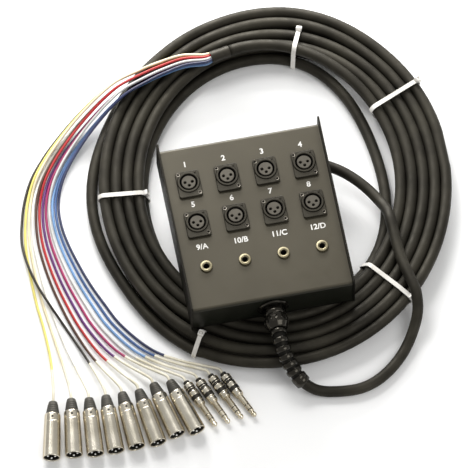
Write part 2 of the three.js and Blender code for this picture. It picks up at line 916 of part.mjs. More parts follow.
function jackPlug() {
  const length = jackPlugLength;
  const barrelEnd = jackTailLength + jackBarrelLength;
  const bandEnd = jackTailLength + jackBandLength;
  const tipStart = length - jackTipLength;
  return turned([
    [0, 0],
    [jackTailRadius, 0],
    [jackTailRadius, jackTailLength],
    [jackBarrelRadius, jackTailLength],
    [jackBarrelRadius, bandEnd],
    [jackGrooveRadius, bandEnd],
    [jackGrooveRadius, bandEnd + jackGrooveLength],
    [jackBarrelRadius, bandEnd + jackGrooveLength],
    [jackBarrelRadius, barrelEnd - jackBandLength],
    [jackGrooveRadius, barrelEnd - jackBandLength],
    [jackGrooveRadius, barrelEnd],
    [jackShaftRadius, barrelEnd],
    [jackShaftRadius, tipStart],
    [jackNeckRadius, tipStart + jackNeckLength],
    [jackTipRadius, length - jackTipShoulder],
    [jackTipEndRadius, length],
    [0, length],
  ], smallSides);
}

// Where each plug points from: its front end, and its heading in degrees from -Y toward +X
const micPlugPlaces = [
  [-265.6, -211.6, -12],
  [-241.2, -212.8, -8],
  [-218.2, -216, -4.5],
  [-195.9, -216.7, -1],
  [-172.8, -216.3, 3.5],
  [-149.3, -216.1, 8],
  [-127.3, -210.6, 12.5],
  [-105.2, -210, 16],
];
const jackPlugPlaces = [
  [-84, -207, 21],
  [-69.5, -206, 22],
  [-54.5, -203.5, 23],
  [-40, -203.5, 24],
];

function plugPose([x, y, degrees], length, radius) {
  const heading = THREE.MathUtils.degToRad(degrees);
  const way = new THREE.Vector3(Math.sin(heading), -Math.cos(heading), 0);
  const front = new THREE.Vector3(x, y, floorZ + radius);
  return { way, rear: front.clone().addScaledVector(way, -length), heading };
}

function plugPoses() {
  return [
    ...micPlugPlaces.map((place) => plugPose(place, micPlugLength, micShellRadius)),
    ...jackPlugPlaces.map((place) => plugPose(place, jackPlugLength, jackBarrelRadius)),
  ];
}

// A plug made along Z lies down with its local Y up and then turns to its heading
function laid(geometry, pose) {
  const side = new THREE.Vector3(pose.way.y, -pose.way.x, 0).negate();
  const turn = new THREE.Matrix4().makeBasis(side, new THREE.Vector3(0, 0, 1), pose.way.clone());
  return geometry.clone().applyMatrix4(turn).translate(pose.rear.x, pose.rear.y, pose.rear.z);
}

function addPlugs(poses) {
  const mic = micPlug();
  const jack = jackPlug();
  micPlugPlaces.forEach((place, index) => {
    addPart(`mic_plug_${index + 1}`, laid(mic, poses[index]), nickel);
  });
  ["a", "b", "c", "d"].forEach((letter, index) => {
    addPart(`jack_plug_${letter}`, laid(jack, poses[micPlugPlaces.length + index]), nickel);
  });
}

// Stations of the tails: middle, height of the lowest tail above the floor, sideways direction in
// degrees, how far the stacks of three have opened (0 to 1), spacing once open, and how far the
// black tail has crossed over its three neighbours
const tailStations = [
  [-38, 217.5, 28.6, 95, 0.1, tailPitch, 0],
  [-64, 213.5, 28.4, 104, 0.2, tailPitch, 0],
  [-84, 208.5, 28.2, 110, 0.28, tailPitch, 0],
  [-111, 199.5, 27.9, 117, 0.38, tailPitch, 0],
  [-130, 190.5, 21, 123, 0.45, tailPitch, 0],
  [-147, 180.5, 13, 129, 0.52, tailPitch, 0],
  [-163.5, 168.5, 7, 134, 0.58, tailPitch, 0],
  [-181, 152.5, 3.4, 140, 0.66, tailPitch, 0],
  [-196, 136, 1.9, 146, 0.75, tailPitch, 0],
  [-210.5, 115, tailRadius, 155, 0.88, tailPitch, 0],
  [-220, 92, tailRadius, 163, 1, tailPitch, 0],
  [-224.5, 68, tailRadius, 167, 1, 3.9, 0],
  [-225.5, 44, tailRadius, 170, 1, 4.6, 0.04],
  [-223, 18, tailRadius, 171, 1, 5.3, 0.2],
  [-218.5, -8, tailRadius, 171, 1, 6, 0.45],
  [-212, -34, tailRadius, 171, 1, 6.8, 0.75],
  [-204, -60, tailRadius, 171, 1, 7.6, 1],
];
const blackTail = 3;

// Place of a tail in the fan, counted from the outer edge
function fanPlace(tail, crossed) {
  if (tail > blackTail) return tail;
  return tail === blackTail ? crossed * blackTail : tail + 1 - crossed;
}

function tailPoint(tail, station) {
  const [x, y, low, degrees, open, pitch, crossed] = station;
  const aside = THREE.MathUtils.degToRad(degrees);
  const place = fanPlace(tail, crossed);
  const stack = Math.floor(fanPlace(tail, 0) / tailsPerStack);
  const level = fanPlace(tail, 0) % tailsPerStack;
  const last = micPlugPlaces.length + jackPlugPlaces.length - 1;
  const stacked = stack * (1 + (tailsPerStack - 1) * open) + level * open;
  const stackedWidth = Math.floor(last / tailsPerStack) * (1 + (tailsPerStack - 1) * open)
    + (last % tailsPerStack) * open;
  const offset = open < 1 ? stackedWidth / 2 - stacked : last / 2 - place;
  const lift = level * Math.sqrt(1 - open * open) * pitch;
  const hump = Math.min(1, Math.sin(Math.PI * crossed) * tailHumpSteepness);
  const crossing = tail === blackTail ? hump * tailHump : 0;
  return new THREE.Vector3(
    x + Math.cos(aside) * offset * pitch,
    y + Math.sin(aside) * offset * pitch,
    floorZ + low + lift + crossing,
  );
}

// Steps of the smooth bend from a tail's last station into the back of its plug
function intoPlug(before, from, pose) {
  const behindPlug = (distance) => pose.rear.clone().addScaledVector(pose.way, -distance);
  const near = behindPlug(tailArrival);
  const reach = near.distanceTo(from) * tailReachShare;
  const leave = from.clone().sub(before).setZ(0).setLength(reach).add(from);
  const bend = new THREE.CubicBezierCurve3(from, leave, behindPlug(tailArrival * 2), near);
  return [...tailBendShares.map((share) => bend.getPoint(share)), behindPlug(seatGap)];
}

function tailPoints(tail, pose) {
  const begin = coilFinish.clone().addScaledVector(coilFinishWay, sleeveLength + seatGap * 2);
  const outward = Math.atan2(-coilFinishWay.x, coilFinishWay.y);
  const degrees = THREE.MathUtils.radToDeg(outward);
  const points = [0, tailStraight].map((distance) => {
    const middle = begin.clone().addScaledVector(coilFinishWay, distance);
    const low = middle.z - floorZ - tailPitch;
    return tailPoint(tail, [middle.x, middle.y, low, degrees, 0, tailPitch, 0]);
  });
  for (const station of tailStations) points.push(tailPoint(tail, station));
  return [...points, ...intoPlug(points.at(-2), points.at(-1), pose)];
}

function addTails(poses) {
  poses.forEach((pose, tail) => {
    const material = finish(tailColours[tail], 0.5, 0);
    addPart(`tail_${tail + 1}`, tube(tailPoints(tail, pose), tailRadius, thinSides), material);
  });
}

function addLead(lead) {
  addPart("lead_cable", tube(lead, cableRadius, leadSides), jacketRubber);
}

const lead = leadPoints();
const poses = plugPoses();
addBox();
addSockets();
addGland(lead);
addLead(lead);
addCoil();
addTies();
addSleeve();
addTails(poses);
addPlugs(poses);

export default snake;
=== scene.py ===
"""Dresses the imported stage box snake: enamelled box, sockets, wound cable, tails and plugs."""
import math

import bmesh
import bpy
from mathutils import Matrix, Vector
from mathutils.geometry import tessellate_polygon


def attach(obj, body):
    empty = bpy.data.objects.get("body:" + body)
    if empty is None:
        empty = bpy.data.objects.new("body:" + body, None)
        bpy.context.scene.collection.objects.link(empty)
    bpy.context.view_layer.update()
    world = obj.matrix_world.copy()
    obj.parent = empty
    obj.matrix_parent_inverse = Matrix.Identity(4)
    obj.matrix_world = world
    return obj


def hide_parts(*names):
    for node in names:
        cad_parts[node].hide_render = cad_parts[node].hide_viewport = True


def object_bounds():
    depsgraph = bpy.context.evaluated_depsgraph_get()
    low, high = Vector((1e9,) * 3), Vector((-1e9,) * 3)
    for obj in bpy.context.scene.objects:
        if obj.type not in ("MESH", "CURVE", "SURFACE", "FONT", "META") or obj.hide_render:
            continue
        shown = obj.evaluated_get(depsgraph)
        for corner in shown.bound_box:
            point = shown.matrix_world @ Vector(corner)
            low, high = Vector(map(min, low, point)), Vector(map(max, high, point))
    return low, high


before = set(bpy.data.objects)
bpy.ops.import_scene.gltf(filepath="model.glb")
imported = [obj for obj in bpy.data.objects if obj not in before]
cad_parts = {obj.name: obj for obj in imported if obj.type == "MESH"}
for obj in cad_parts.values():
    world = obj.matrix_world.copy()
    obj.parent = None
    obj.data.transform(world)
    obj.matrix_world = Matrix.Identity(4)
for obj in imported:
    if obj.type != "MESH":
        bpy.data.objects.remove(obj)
cad_low, cad_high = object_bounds()

# Sizes in millimetres, as in the part
MM = 0.001
BOX_DEPTH = 196
BEND_RADIUS = 3.5
PANEL_DROP = 43
SEAT_GAP = 0.3
COLUMN_PITCH = 42.5
ROW_PITCH = 48.5
SOCKET_ROWS_Y = 27.75
COLLAR_OFFSET = 1.7
JACK_ROW_Y = -47.6
FRONT_Y = -BOX_DEPTH / 2
GLAND_Z = -PANEL_DROP / 2
GLAND_BORE = 6.6
GLAND_LENGTH = 14.5
CAP_LENGTH = 13
CABLE_RADIUS = 6
STRAND_GAP = 0.5
STRAND_PITCH = CABLE_RADIUS * 2 + STRAND_GAP
STRAND_HALF_HEIGHT = CABLE_RADIUS * 0.96
TIE_WIDTH = 4.8
TIE_THICKNESS = 1
TIE_CLEARANCE = 0.9
COIL_LIFT = CABLE_RADIUS - STRAND_HALF_HEIGHT + TIE_CLEARANCE + TIE_THICKNESS
PILE_TOP = COIL_LIFT + STRAND_HALF_HEIGHT * 2 + STRAND_PITCH
FLOOR_Z = -PANEL_DROP - PILE_TOP - SEAT_GAP
LAYER_TURNS = 5
COIL_TURNS = 9.622
COIL_INNER_ACROSS = 131
COIL_INNER_ALONG = 150
COIL_START = math.radians(245)
MIC_LENGTH = 66
JACK_LENGTH = 62
MIC_RADIUS = 9.5
JACK_RADIUS = 5.8
SLEEVE_LENGTH = 22
TAIL_RADIUS = 1.5
TAIL_PITCH = 3.4

UP = Vector((0, 0, 1))
COLUMNS = [(column - 1.5) * COLUMN_PITCH for column in range(4)]
SOCKET_PLACES = [
    Vector((x, y + COLLAR_OFFSET, 0))
    for y in (SOCKET_ROWS_Y + ROW_PITCH / 2, SOCKET_ROWS_Y - ROW_PITCH / 2)
    for x in COLUMNS
]
JACK_PLACES = [Vector((x, JACK_ROW_Y, 0)) for x in COLUMNS]


# Camera
def add_camera():
    bearing = math.radians(11)
    elevation = math.radians(65)
    distance = 12000
    target = Vector((-27, -15, 0))
    forward = Vector((math.sin(bearing), math.cos(bearing), 0))
    back = Vector((0, 0, math.sin(elevation))) - forward * math.cos(elevation)
    camera = bpy.data.objects.new("camera", bpy.data.cameras.new("camera"))
    bpy.context.scene.collection.objects.link(camera)
    camera.location = (target + back * distance) * MM
    camera.rotation_euler = (-back).to_track_quat("-Z", "Y").to_euler()
    camera.data.sensor_width = 36
    camera.data.lens = 853
    camera.data.clip_end = 20
    bpy.context.scene.camera = camera


add_camera()


# Routes
def smooth_route(stations, steps):
    """Centripetal curve through the stations, with the given steps between two of them."""
    points = [stations[0] * 2 - stations[1], *stations, stations[-1] * 2 - stations[-2]]
    route = []
    for one in range(1, len(points) - 2):
        p0, p1, p2, p3 = points[one - 1 : one + 3]
        d0, d1, d2 = (max(1e-4, (b - a).length ** 0.5) for a, b in ((p0, p1), (p1, p2), (p2, p3)))
        leave = ((p1 - p0) / d0 - (p2 - p0) / (d0 + d1) + (p2 - p1) / d1) * d1
        arrive = ((p2 - p1) / d1 - (p3 - p1) / (d1 + d2) + (p3 - p2) / d2) * d1
        for step in range(steps):
            t = step / steps
            route.append(
                p1 * (2 * t**3 - 3 * t**2 + 1)
                + leave * (t**3 - 2 * t**2 + t)
                + p2 * (3 * t**2 - 2 * t**3)
                + arrive * (t**3 - t**2)
            )
    return [*route, stations[-1]]


def kept_inside(route, radius):
    """Holds the curve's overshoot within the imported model's box."""
    lows = [low / MM + radius for low in cad_low]
    highs = [high / MM - radius for high in cad_high]
    return [
        Vector([min(max(value, low), high) for value, low, high in zip(point, lows, highs)])
        for point in route
    ]


def route_length(route):
    return sum((b - a).length for a, b in zip(route, route[1:]))


def ease(value, start, end):
    share = min(1, max(0, (value - start) / (end - start)))
    return share * share * (3 - 2 * share)


COIL_PLACE = Matrix.Translation((30, 59, FLOOR_Z)) @ Matrix.Rotation(math.radians(-11), 4, "Z")
COIL_STEPS = 120
# Where a tie parts the strands: share of a turn, strands left where they are, distance moved
PARTED_TIES = ((13 / 24, 3, 2.8), (20 / 24, 4.33, 6), (0, 3.5, 2.2))
PARTED_REACH = 0.09
# Where the first turn hangs loose: from, to and how far inward
LOOSE_TURN = (0.2, 0.57, 18)


def coil_steps(turn):
    return turn if turn < LAYER_TURNS else LAYER_TURNS * 2 - turn


def on_coil(turn, aside, height):
    angle = COIL_START + turn * math.tau
    x = math.cos(angle) * (COIL_INNER_ACROSS + aside)
    y = math.sin(angle) * (COIL_INNER_ALONG + aside)
    return Vector((x, y, height))


def parting(share, steps):
    moved = 0
    for at_share, beyond, by in PARTED_TIES:
        away = abs(share - at_share)
        reach = min(away, 1 - away) / PARTED_REACH
        if steps > beyond and reach < 1:
            moved += by * (1 + math.cos(math.pi * reach)) / 2
    return moved


def coil_point(turn):
    """Middle line of the wound cable: five turns outward on the floor, then inward on top."""
    share = turn - math.floor(turn)
    steps = coil_steps(turn)
    aside = steps * STRAND_PITCH + parting(share, steps)
    rise = 0
    loose_from, loose_to, inward = LOOSE_TURN
    if loose_from < turn < loose_to:
        swing = math.sin(math.pi * (turn - loose_from) / (loose_to - loose_from))
        aside -= inward * swing**2
    if turn > LAYER_TURNS:
        outermost = (LAYER_TURNS - 1 + share) * STRAND_PITCH
        innermost = share * STRAND_PITCH
        past = max(0, steps * STRAND_PITCH - outermost, innermost - steps * STRAND_PITCH)
        apart = STRAND_PITCH * 1.05
        rise = min(STRAND_PITCH, math.sqrt(max(0, apart * apart - past * past)))
    # The near end comes in a little further inside
    aside -= 1.5 * (1 - ease(turn, 0, 0.06))
    # The far end climbs on the upper layer and moves out over the middle of the strands
    rise += STRAND_PITCH * ease(turn, COIL_TURNS - 0.24, COIL_TURNS - 0.1)
    aside += 8.75 * ease(turn, COIL_TURNS - 0.15, COIL_TURNS)
    return on_coil(turn, aside, COIL_LIFT + STRAND_HALF_HEIGHT + rise)


def coil_way(turn):
    near = 0.002
    along = coil_point(min(COIL_TURNS, turn + near)) - coil_point(max(0, turn - near))
    return (COIL_PLACE.to_3x3() @ along).normalized()


LEAD_FLOOR = FLOOR_Z + CABLE_RADIUS
LEAD_OVER_COIL = FLOOR_Z + PILE_TOP + CABLE_RADIUS + STRAND_GAP
LEAD_UNDER_BOX = -PANEL_DROP - SEAT_GAP - CABLE_RADIUS
COIL_HEIGHT = FLOOR_Z + COIL_LIFT + STRAND_HALF_HEIGHT
GLAND_FACE_Y = FRONT_Y - SEAT_GAP - GLAND_LENGTH
CAP_END_Y = GLAND_FACE_Y - SEAT_GAP - CAP_LENGTH
# The lead's stations, from inside the gland to the coil, and those that the relief lies between
RELIEF_STATIONS = (3, 9)
LEAD_POINTS = (
    (0, FRONT_Y + 10, GLAND_Z), (0, FRONT_Y - 11.5, GLAND_Z), (0, FRONT_Y - 23, GLAND_Z),
    (0, CAP_END_Y, GLAND_Z), (0.2, -136.5, -23), (1.2, -145.5, -27.5),
    (3.4, -154, -33.5), (6.6, -161.8, -39.8), (10.6, -169, -46),
    (15.6, -175.8, -52), (22.5, -181.8, -57.5), (31, -186.5, -61.5),
    (43, -190, LEAD_FLOOR), (60, -192.6, LEAD_FLOOR), (78, -192.8, LEAD_FLOOR),
    (96, -187.8, LEAD_FLOOR), (115, -176, LEAD_FLOOR), (132, -159.5, LEAD_FLOOR),
    (146, -140, -58.5), (155, -121.5, -48.5), (157, -102, -38.3),
    (153, -82, LEAD_OVER_COIL), (149, -62, LEAD_OVER_COIL), (147.4, -43, LEAD_OVER_COIL),
    (147, -26, LEAD_OVER_COIL), (146.4, -14, -36.8), (146, -5, -38.8),
    (144, 5, -43), (140, 15.5, -47.3), (131, 32, LEAD_UNDER_BOX),
    (118, 48.5, LEAD_UNDER_BOX), (103, 62, LEAD_UNDER_BOX), (84, 73, LEAD_UNDER_BOX),
    (58, 81.5, LEAD_UNDER_BOX), (30, 83, LEAD_UNDER_BOX), (2, 77, -50.6),
    (-24, 63, -55), (-46, 41, -59.6), (-61, 13, COIL_HEIGHT),
    (-66, -17, COIL_HEIGHT),
)
LEAD_STATIONS = [Vector(point) for point in LEAD_POINTS]


def cable_route():
    """One line for the whole cable: out of the gland, round to the box's back and into the coil."""
    begin = COIL_PLACE @ coil_point(0)
    way = coil_way(0)
    lead = smooth_route([*LEAD_STATIONS, begin - way * 12, begin], 4)
    count = int(COIL_TURNS * COIL_STEPS)
    wound = [COIL_PLACE @ coil_point(step / COIL_STEPS) for step in range(1, count + 1)]
    return kept_inside([*lead, *wound, COIL_PLACE @ coil_point(COIL_TURNS)], CABLE_RADIUS)


TAIL_COUNT = 12
BLACK_TAIL = 3
INTO_SLEEVE = 12
INTO_PLUG = 16
# Each station of the tails: middle, lowest tail's height, sideways direction, how far the stacks
# of three have opened, spacing once open, and how far the black tail has crossed its neighbours
TAIL_STATIONS = (
    (-38, 217.5, 28.6, 95, 0.1, TAIL_PITCH, 0),
    (-64, 213.5, 28.4, 104, 0.2, TAIL_PITCH, 0),
    (-84, 208.5, 28.2, 110, 0.28, TAIL_PITCH, 0),
    (-111, 199.5, 27.9, 117, 0.38, TAIL_PITCH, 0),
    (-130, 190.5, 21, 123, 0.45, TAIL_PITCH, 0),
    (-147, 180.5, 13, 129, 0.52, TAIL_PITCH, 0),
    (-163.5, 168.5, 7, 134, 0.58, TAIL_PITCH, 0),
    (-181, 152.5, 3.4, 140, 0.66, TAIL_PITCH, 0),
    (-196, 136, 1.9, 146, 0.75, TAIL_PITCH, 0),
    (-210.5, 115, TAIL_RADIUS, 155, 0.88, TAIL_PITCH, 0),
    (-220, 92, TAIL_RADIUS, 163, 1, TAIL_PITCH, 0),
    (-224.5, 68, TAIL_RADIUS, 167, 1, 3.9, 0),
    (-225.5, 44, TAIL_RADIUS, 170, 1, 4.6, 0.04),
    (-223, 18, TAIL_RADIUS, 171, 1, 5.3, 0.2),
    (-218.5, -8, TAIL_RADIUS, 171, 1, 6, 0.45),
    (-212, -34, TAIL_RADIUS, 171, 1, 6.8, 0.75),
    (-204, -60, TAIL_RADIUS, 171, 1, 7.6, 1),
)
# Each plug's front end on the floor, and its heading in degrees
MIC_PLACES = (
    (-265.6, -211.6, -12), (-241.2, -212.8, -8), (-218.2, -216, -4.5), (-195.9, -216.7, -1),
    (-172.8, -216.3, 3.5), (-149.3, -216.1, 8), (-127.3, -210.6, 12.5), (-105.2, -210, 16),
)
JACK_PLUG_PLACES = (
    (-84, -207, 21), (-69.5, -206, 22), (-54.5, -203.5, 23), (-40, -203.5, 24),
)


def upright(way):
    """Turns a shape's Z along a level way, and its Y up."""
    return Matrix((UP.cross(way), UP, way)).transposed().to_4x4()


def plug_pose(place, length, radius):
    """Place of a plug made along Z from its cable end: laid down, its local Y up."""
    x, y, degrees = place
    heading = math.radians(degrees)
    way = Vector((math.sin(heading), -math.cos(heading), 0))
    rear = Vector((x, y, FLOOR_Z + radius)) - way * length
    return rear, way, Matrix.Translation(rear) @ upright(way)


PLUG_POSES = [plug_pose(place, MIC_LENGTH, MIC_RADIUS) for place in MIC_PLACES]
PLUG_POSES += [plug_pose(place, JACK_LENGTH, JACK_RADIUS) for place in JACK_PLUG_PLACES]


def fan_place(tail, crossed):
    """The tail's place in the fan; the black tail goes over to the outer side."""
    if tail > BLACK_TAIL:
        return tail
    return crossed * BLACK_TAIL if tail == BLACK_TAIL else tail + 1 - crossed


def tail_point(tail, station):
    x, y, low, degrees, opened, pitch, crossed = station
    aside = math.radians(degrees)
    stack, level = divmod(fan_place(tail, 0), 3)
    spread = 1 + 2 * opened
    last = TAIL_COUNT - 1
    stacked = stack * spread + level * opened
    stacked_width = (last // 3) * spread + (last % 3) * opened
    offset = stacked_width / 2 - stacked if opened < 1 else last / 2 - fan_place(tail, crossed)
    lift = level * math.sqrt(1 - opened * opened) * pitch
    hump = min(1, math.sin(math.pi * crossed) * 2.2) * 3.6 if tail == BLACK_TAIL else 0
    x += math.cos(aside) * offset * pitch
    y += math.sin(aside) * offset * pitch
    return Vector((x, y, FLOOR_Z + low + lift + hump))


def into_plug(before, start, rear, way):
    """The tail's last stations, from the fan round onto the plug's axis."""
    near = rear - way * 6
    leave = Vector((start.x - before.x, start.y - before.y, 0)).normalized()
    leave = start + leave * (near - start).length * 0.5
    arrive = rear - way * 12
    bend = []
    for t in (0.28, 0.52, 0.76, 1):
        s = 1 - t
        bend.append(start * s**3 + leave * (3 * s * s * t) + arrive * (3 * s * t * t) + near * t**3)
    return [*bend, rear - way * SEAT_GAP]


SLEEVE_FOOT = COIL_PLACE @ coil_point(COIL_TURNS)
SLEEVE_WAY = coil_way(COIL_TURNS)


def tail_route(tail):
    begin = SLEEVE_FOOT + SLEEVE_WAY * (SLEEVE_LENGTH + SEAT_GAP * 2)
    degrees = math.degrees(math.atan2(-SLEEVE_WAY.x, SLEEVE_WAY.y))
    stations = []
    for distance, gathered in ((0, 0.78), (6, 0.9)):
        middle = begin + SLEEVE_WAY * distance
        low = middle.z - FLOOR_Z - TAIL_PITCH
        loose = tail_point(tail, (middle.x, middle.y, low, degrees, 0, TAIL_PITCH, 0))
        stations.append(middle.lerp(loose, gathered))
    stations += [tail_point(tail, station) for station in TAIL_STATIONS]
    rear, way, _ = PLUG_POSES[tail]
    stations += into_plug(stations[-2], stations[-1], rear, way)
    axis = SLEEVE_FOOT + SLEEVE_WAY * (SLEEVE_LENGTH - INTO_SLEEVE)
    inside = axis + (stations[0] - begin) * 0.9
    route = smooth_route([inside, *stations, rear + way * INTO_PLUG], 8)
    return kept_inside(route, TAIL_RADIUS)


# Finishes
def new_finish(name, colour, roughness, metallic=0.0):
    """A material, with its node tree and its main shader."""
    material = bpy.data.materials.new(name)
    material.use_nodes = True
    tree = material.node_tree
    shader = tree.nodes["Principled BSDF"]
    shader.inputs["Base Color"].default_value = (*colour, 1)
    shader.inputs["Roughness"].default_value = roughness
    shader.inputs["Metallic"].default_value = metallic
    if not metallic:
        shader.inputs["Specular Tint"].default_value = (1, 0.92, 0.76, 1)
    return material, tree, shader


def node(tree, kind, values=None):
    """A new node with the given values on its inputs."""
    made = tree.nodes.new(kind)
    for label, value in (values or {}).items():
        made.inputs[label].default_value = value
    return made


def grain(tree, scale, detail):
    """Noise on object coordinates, in grains per metre."""
    place = node(tree, "ShaderNodeTexCoord")
    noise = node(tree, "ShaderNodeTexNoise", {"Scale": scale, "Detail": detail})
    tree.links.new(place.outputs["Object"], noise.inputs["Vector"])
    return noise.outputs["Fac"]


def toned(tree, shader, fac, dark, light, low=0.35, high=0.65):
    """Drives the colour between two tones."""
    ramp = node(tree, "ShaderNodeValToRGB")
    for element, position, tone in zip(ramp.color_ramp.elements, (low, high), (dark, light)):
        element.position = position
        element.color = (*tone, 1)
    tree.links.new(fac, ramp.inputs["Fac"])
    tree.links.new(ramp.outputs["Color"], shader.inputs["Base Color"])


def polished(tree, shader, fac, least, most):
    """Drives the roughness between two values."""
    values = {"From Min": 0.3, "From Max": 0.7, "To Min": least, "To Max": most}
    spread = node(tree, "ShaderNodeMapRange", values)
    tree.links.new(fac, spread.inputs["Value"])
    tree.links.new(spread.outputs["Result"], shader.inputs["Roughness"])


def bumped(tree, shader, fac, depth, strength):
    """Raises the surface by the given depth in metres."""
    bump = node(tree, "ShaderNodeBump", {"Distance": depth, "Strength": strength})
    tree.links.new(fac, bump.inputs["Height"])
    tree.links.new(bump.outputs["Normal"], shader.inputs["Normal"])


def enamel(name, dark, light, shine, least=0.36, most=0.5, grains=1500):
    material, tree, shader = new_finish(name, light, 0.45)
    toned(tree, shader, grain(tree, 9, 5), dark, light)
    polished(tree, shader, grain(tree, 60, 6), least, most)
    bumped(tree, shader, grain(tree, grains, 2), 0.00006, 0.5)
    shader.inputs["Specular IOR Level"].default_value = shine
    return material


def plated(name, dark, light, least, most):
    material, tree, shader = new_finish(name, light, 0.2, 1.0)
    toned(tree, shader, grain(tree, 30, 3), dark, light, 0.3, 0.7)
    polished(tree, shader, grain(tree, 60, 3), least, most)
    bumped(tree, shader, grain(tree, 400, 2), 0.000006, 0.2)
    shader.inputs["Specular Tint"].default_value = (0.55, 0.45, 0.32, 1)
    return material


def moulded(name, dark, light, least, most, grains=700, shine=0.5):
    material, tree, shader = new_finish(name, light, least)
    shader.inputs["Specular IOR Level"].default_value = shine
    toned(tree, shader, grain(tree, 45, 5), dark, light)
    polished(tree, shader, grain(tree, 130, 4), least, most)
    bumped(tree, shader, grain(tree, grains, 3), 0.00003, 0.6)
    return material


def jacket(name, dark, light, least=0.5, most=0.72):
    """Cable rubber: scuffed, dusty in patches, with a fine pebbled skin."""
    material, tree, shader = new_finish(name, light, 0.6)
    toned(tree, shader, grain(tree, 26, 7), dark, light, 0.38, 0.68)
    polished(tree, shader, grain(tree, 90, 5), least, most)
    bumped(tree, shader, grain(tree, 850, 3), 0.00012, 0.7)
    shader.inputs["Specular IOR Level"].default_value = 0.3
    return material


# The colour sockets of a mix node
MIX_FIRST = 6
MIX_SECOND = 7
MIX_RESULT = 2


def panel_enamel():
    """Warm grey enamel on the panel; the walls folded down from it carry the same enamel with
    painted shade, nearly black.
    """
    material = enamel("panel_enamel", (0.03, 0.026, 0.017), (0.042, 0.037, 0.025), 0.4, 0.36, 0.46)
    tree = material.node_tree
    colour = tree.nodes["Principled BSDF"].inputs["Base Color"]
    top = colour.links[0].from_socket
    place = node(tree, "ShaderNodeTexCoord")
    parts = node(tree, "ShaderNodeSeparateXYZ")
    tree.links.new(place.outputs["Object"], parts.inputs["Vector"])
    away = node(tree, "ShaderNodeMath")
    away.operation = "ABSOLUTE"
    tree.links.new(parts.outputs["Y"], away.inputs[0])
    start, end = ((BOX_DEPTH / 2 - BEND_RADIUS * share) * MM for share in (0.6, 0.2))
    # Mask of the painted shade: 0 on the panel, 1 past the bends on the front and rear walls.
    edge = node(tree, "ShaderNodeMapRange", {"From Min": start, "From Max": end})
    tree.links.new(away.outputs["Value"], edge.inputs["Value"])
    enamel_and_painted_wall_shade = node(tree, "ShaderNodeMix")
    enamel_and_painted_wall_shade.data_type = "RGBA"
    tree.links.new(edge.outputs["Result"], enamel_and_painted_wall_shade.inputs["Factor"])
    tree.links.new(top, enamel_and_painted_wall_shade.inputs[MIX_FIRST])
    # Painted shade: the near-black tone of the folded walls, which carry the panel's own enamel.
    enamel_and_painted_wall_shade.inputs[MIX_SECOND].default_value = (0.005, 0.006, 0.004, 1)
    tree.links.new(enamel_and_painted_wall_shade.outputs[MIX_RESULT], colour)
    return material


PANEL_ENAMEL_AND_WALL_SHADE = panel_enamel()
CHEEK_ENAMEL = enamel("cheek_enamel", (0.005, 0.005, 0.004), (0.011, 0.01, 0.008), 0.12)
CASTING = enamel(
    "socket_casting", (0.014, 0.0125, 0.009), (0.027, 0.0245, 0.018), 0.25, 0.3, 0.44, 2200
)
# Black plastic of the jack bodies; also painted shade in the socket grooves and contact bores.
BLACK_PLASTIC_AND_RECESS_SHADE = moulded("black_recess", (0.003, 0.003, 0.003), (0.006, 0.006, 0.006), 0.5, 0.7)
INSERT_GREY = moulded("insert_grey", (0.028, 0.025, 0.02), (0.05, 0.045, 0.036), 0.45, 0.6)
EYELET_STEEL = plated("eyelet_steel", (0.07, 0.065, 0.052), (0.22, 0.2, 0.17), 0.25, 0.4)
CONTACT_BRASS = plated("contact_brass", (0.03, 0.024, 0.014), (0.09, 0.07, 0.035), 0.4, 0.6)
LABEL_INK = moulded("label_ink", (0.51, 0.5, 0.475), (0.7, 0.69, 0.665), 0.5, 0.65, 1600)
JACK_NUT = plated("jack_nut_plate", (0.24, 0.21, 0.13), (0.36, 0.32, 0.215), 0.36, 0.5)
GLAND_NYLON = moulded(
    "gland_nylon", (0.003, 0.0027, 0.0022), (0.006, 0.0055, 0.0045), 0.12, 0.2, 500, shine=0.45
)
RELIEF_CORE = moulded(
    "relief_core", (0.002, 0.002, 0.002), (0.004, 0.004, 0.004), 0.5, 0.65, shine=0.15
)
CABLE_JACKET = jacket("cable_jacket", (0.006, 0.0054, 0.0038), (0.022, 0.02, 0.0145))
TIE_NYLON = moulded("tie_nylon", (0.52, 0.5, 0.46), (0.74, 0.72, 0.68), 0.3, 0.45, 400)
SLEEVE_SHRINK = jacket("breakout_shrink", (0.012, 0.0105, 0.008), (0.028, 0.025, 0.019), 0.4, 0.6)
NICKEL = plated("plug_nickel", (0.6, 0.55, 0.44), (0.76, 0.71, 0.6), 0.2, 0.28)
SHAFT_PLATE = plated("plug_shaft_plate", (0.56, 0.49, 0.36), (0.8, 0.74, 0.6), 0.2, 0.32)
BOOT_RUBBER = moulded("boot_rubber", (0.03, 0.029, 0.026), (0.055, 0.053, 0.047), 0.5, 0.66, 900)
PLUG_BLACK = moulded("plug_black", (0.004, 0.004, 0.004), (0.009, 0.009, 0.009), 0.35, 0.5)
PIN_SILVER = plated("pin_silver", (0.6, 0.6, 0.58), (0.9, 0.9, 0.88), 0.12, 0.22)
WHITE_SLEEVE = moulded("white_sleeve", (0.56, 0.52, 0.4), (0.78, 0.74, 0.62), 0.35, 0.5, 500)
TAIL_TONES = {
    "yellow": (0.76, 0.66, 0.18),
    "cream": (0.78, 0.68, 0.46),
    "white": (0.82, 0.8, 0.74),
    "black": (0.012, 0.011, 0.012),
    "brown": (0.06, 0.02, 0.013),
    "red": (0.42, 0.012, 0.02),
    "purple": (0.1, 0.016, 0.15),
    "magenta": (0.32, 0.02, 0.11),
    "light_grey": (0.58, 0.58, 0.56),
    "light_blue": (0.16, 0.3, 0.54),
    "slate_blue": (0.05, 0.11, 0.27),
    "navy": (0.02, 0.03, 0.09),
}
# Length of each tail's white sleeve, outside its plug
WHITE_LENGTHS = (42, 44, 45, 47, 50, 52, 58, 60, 66, 68, 70, 70)


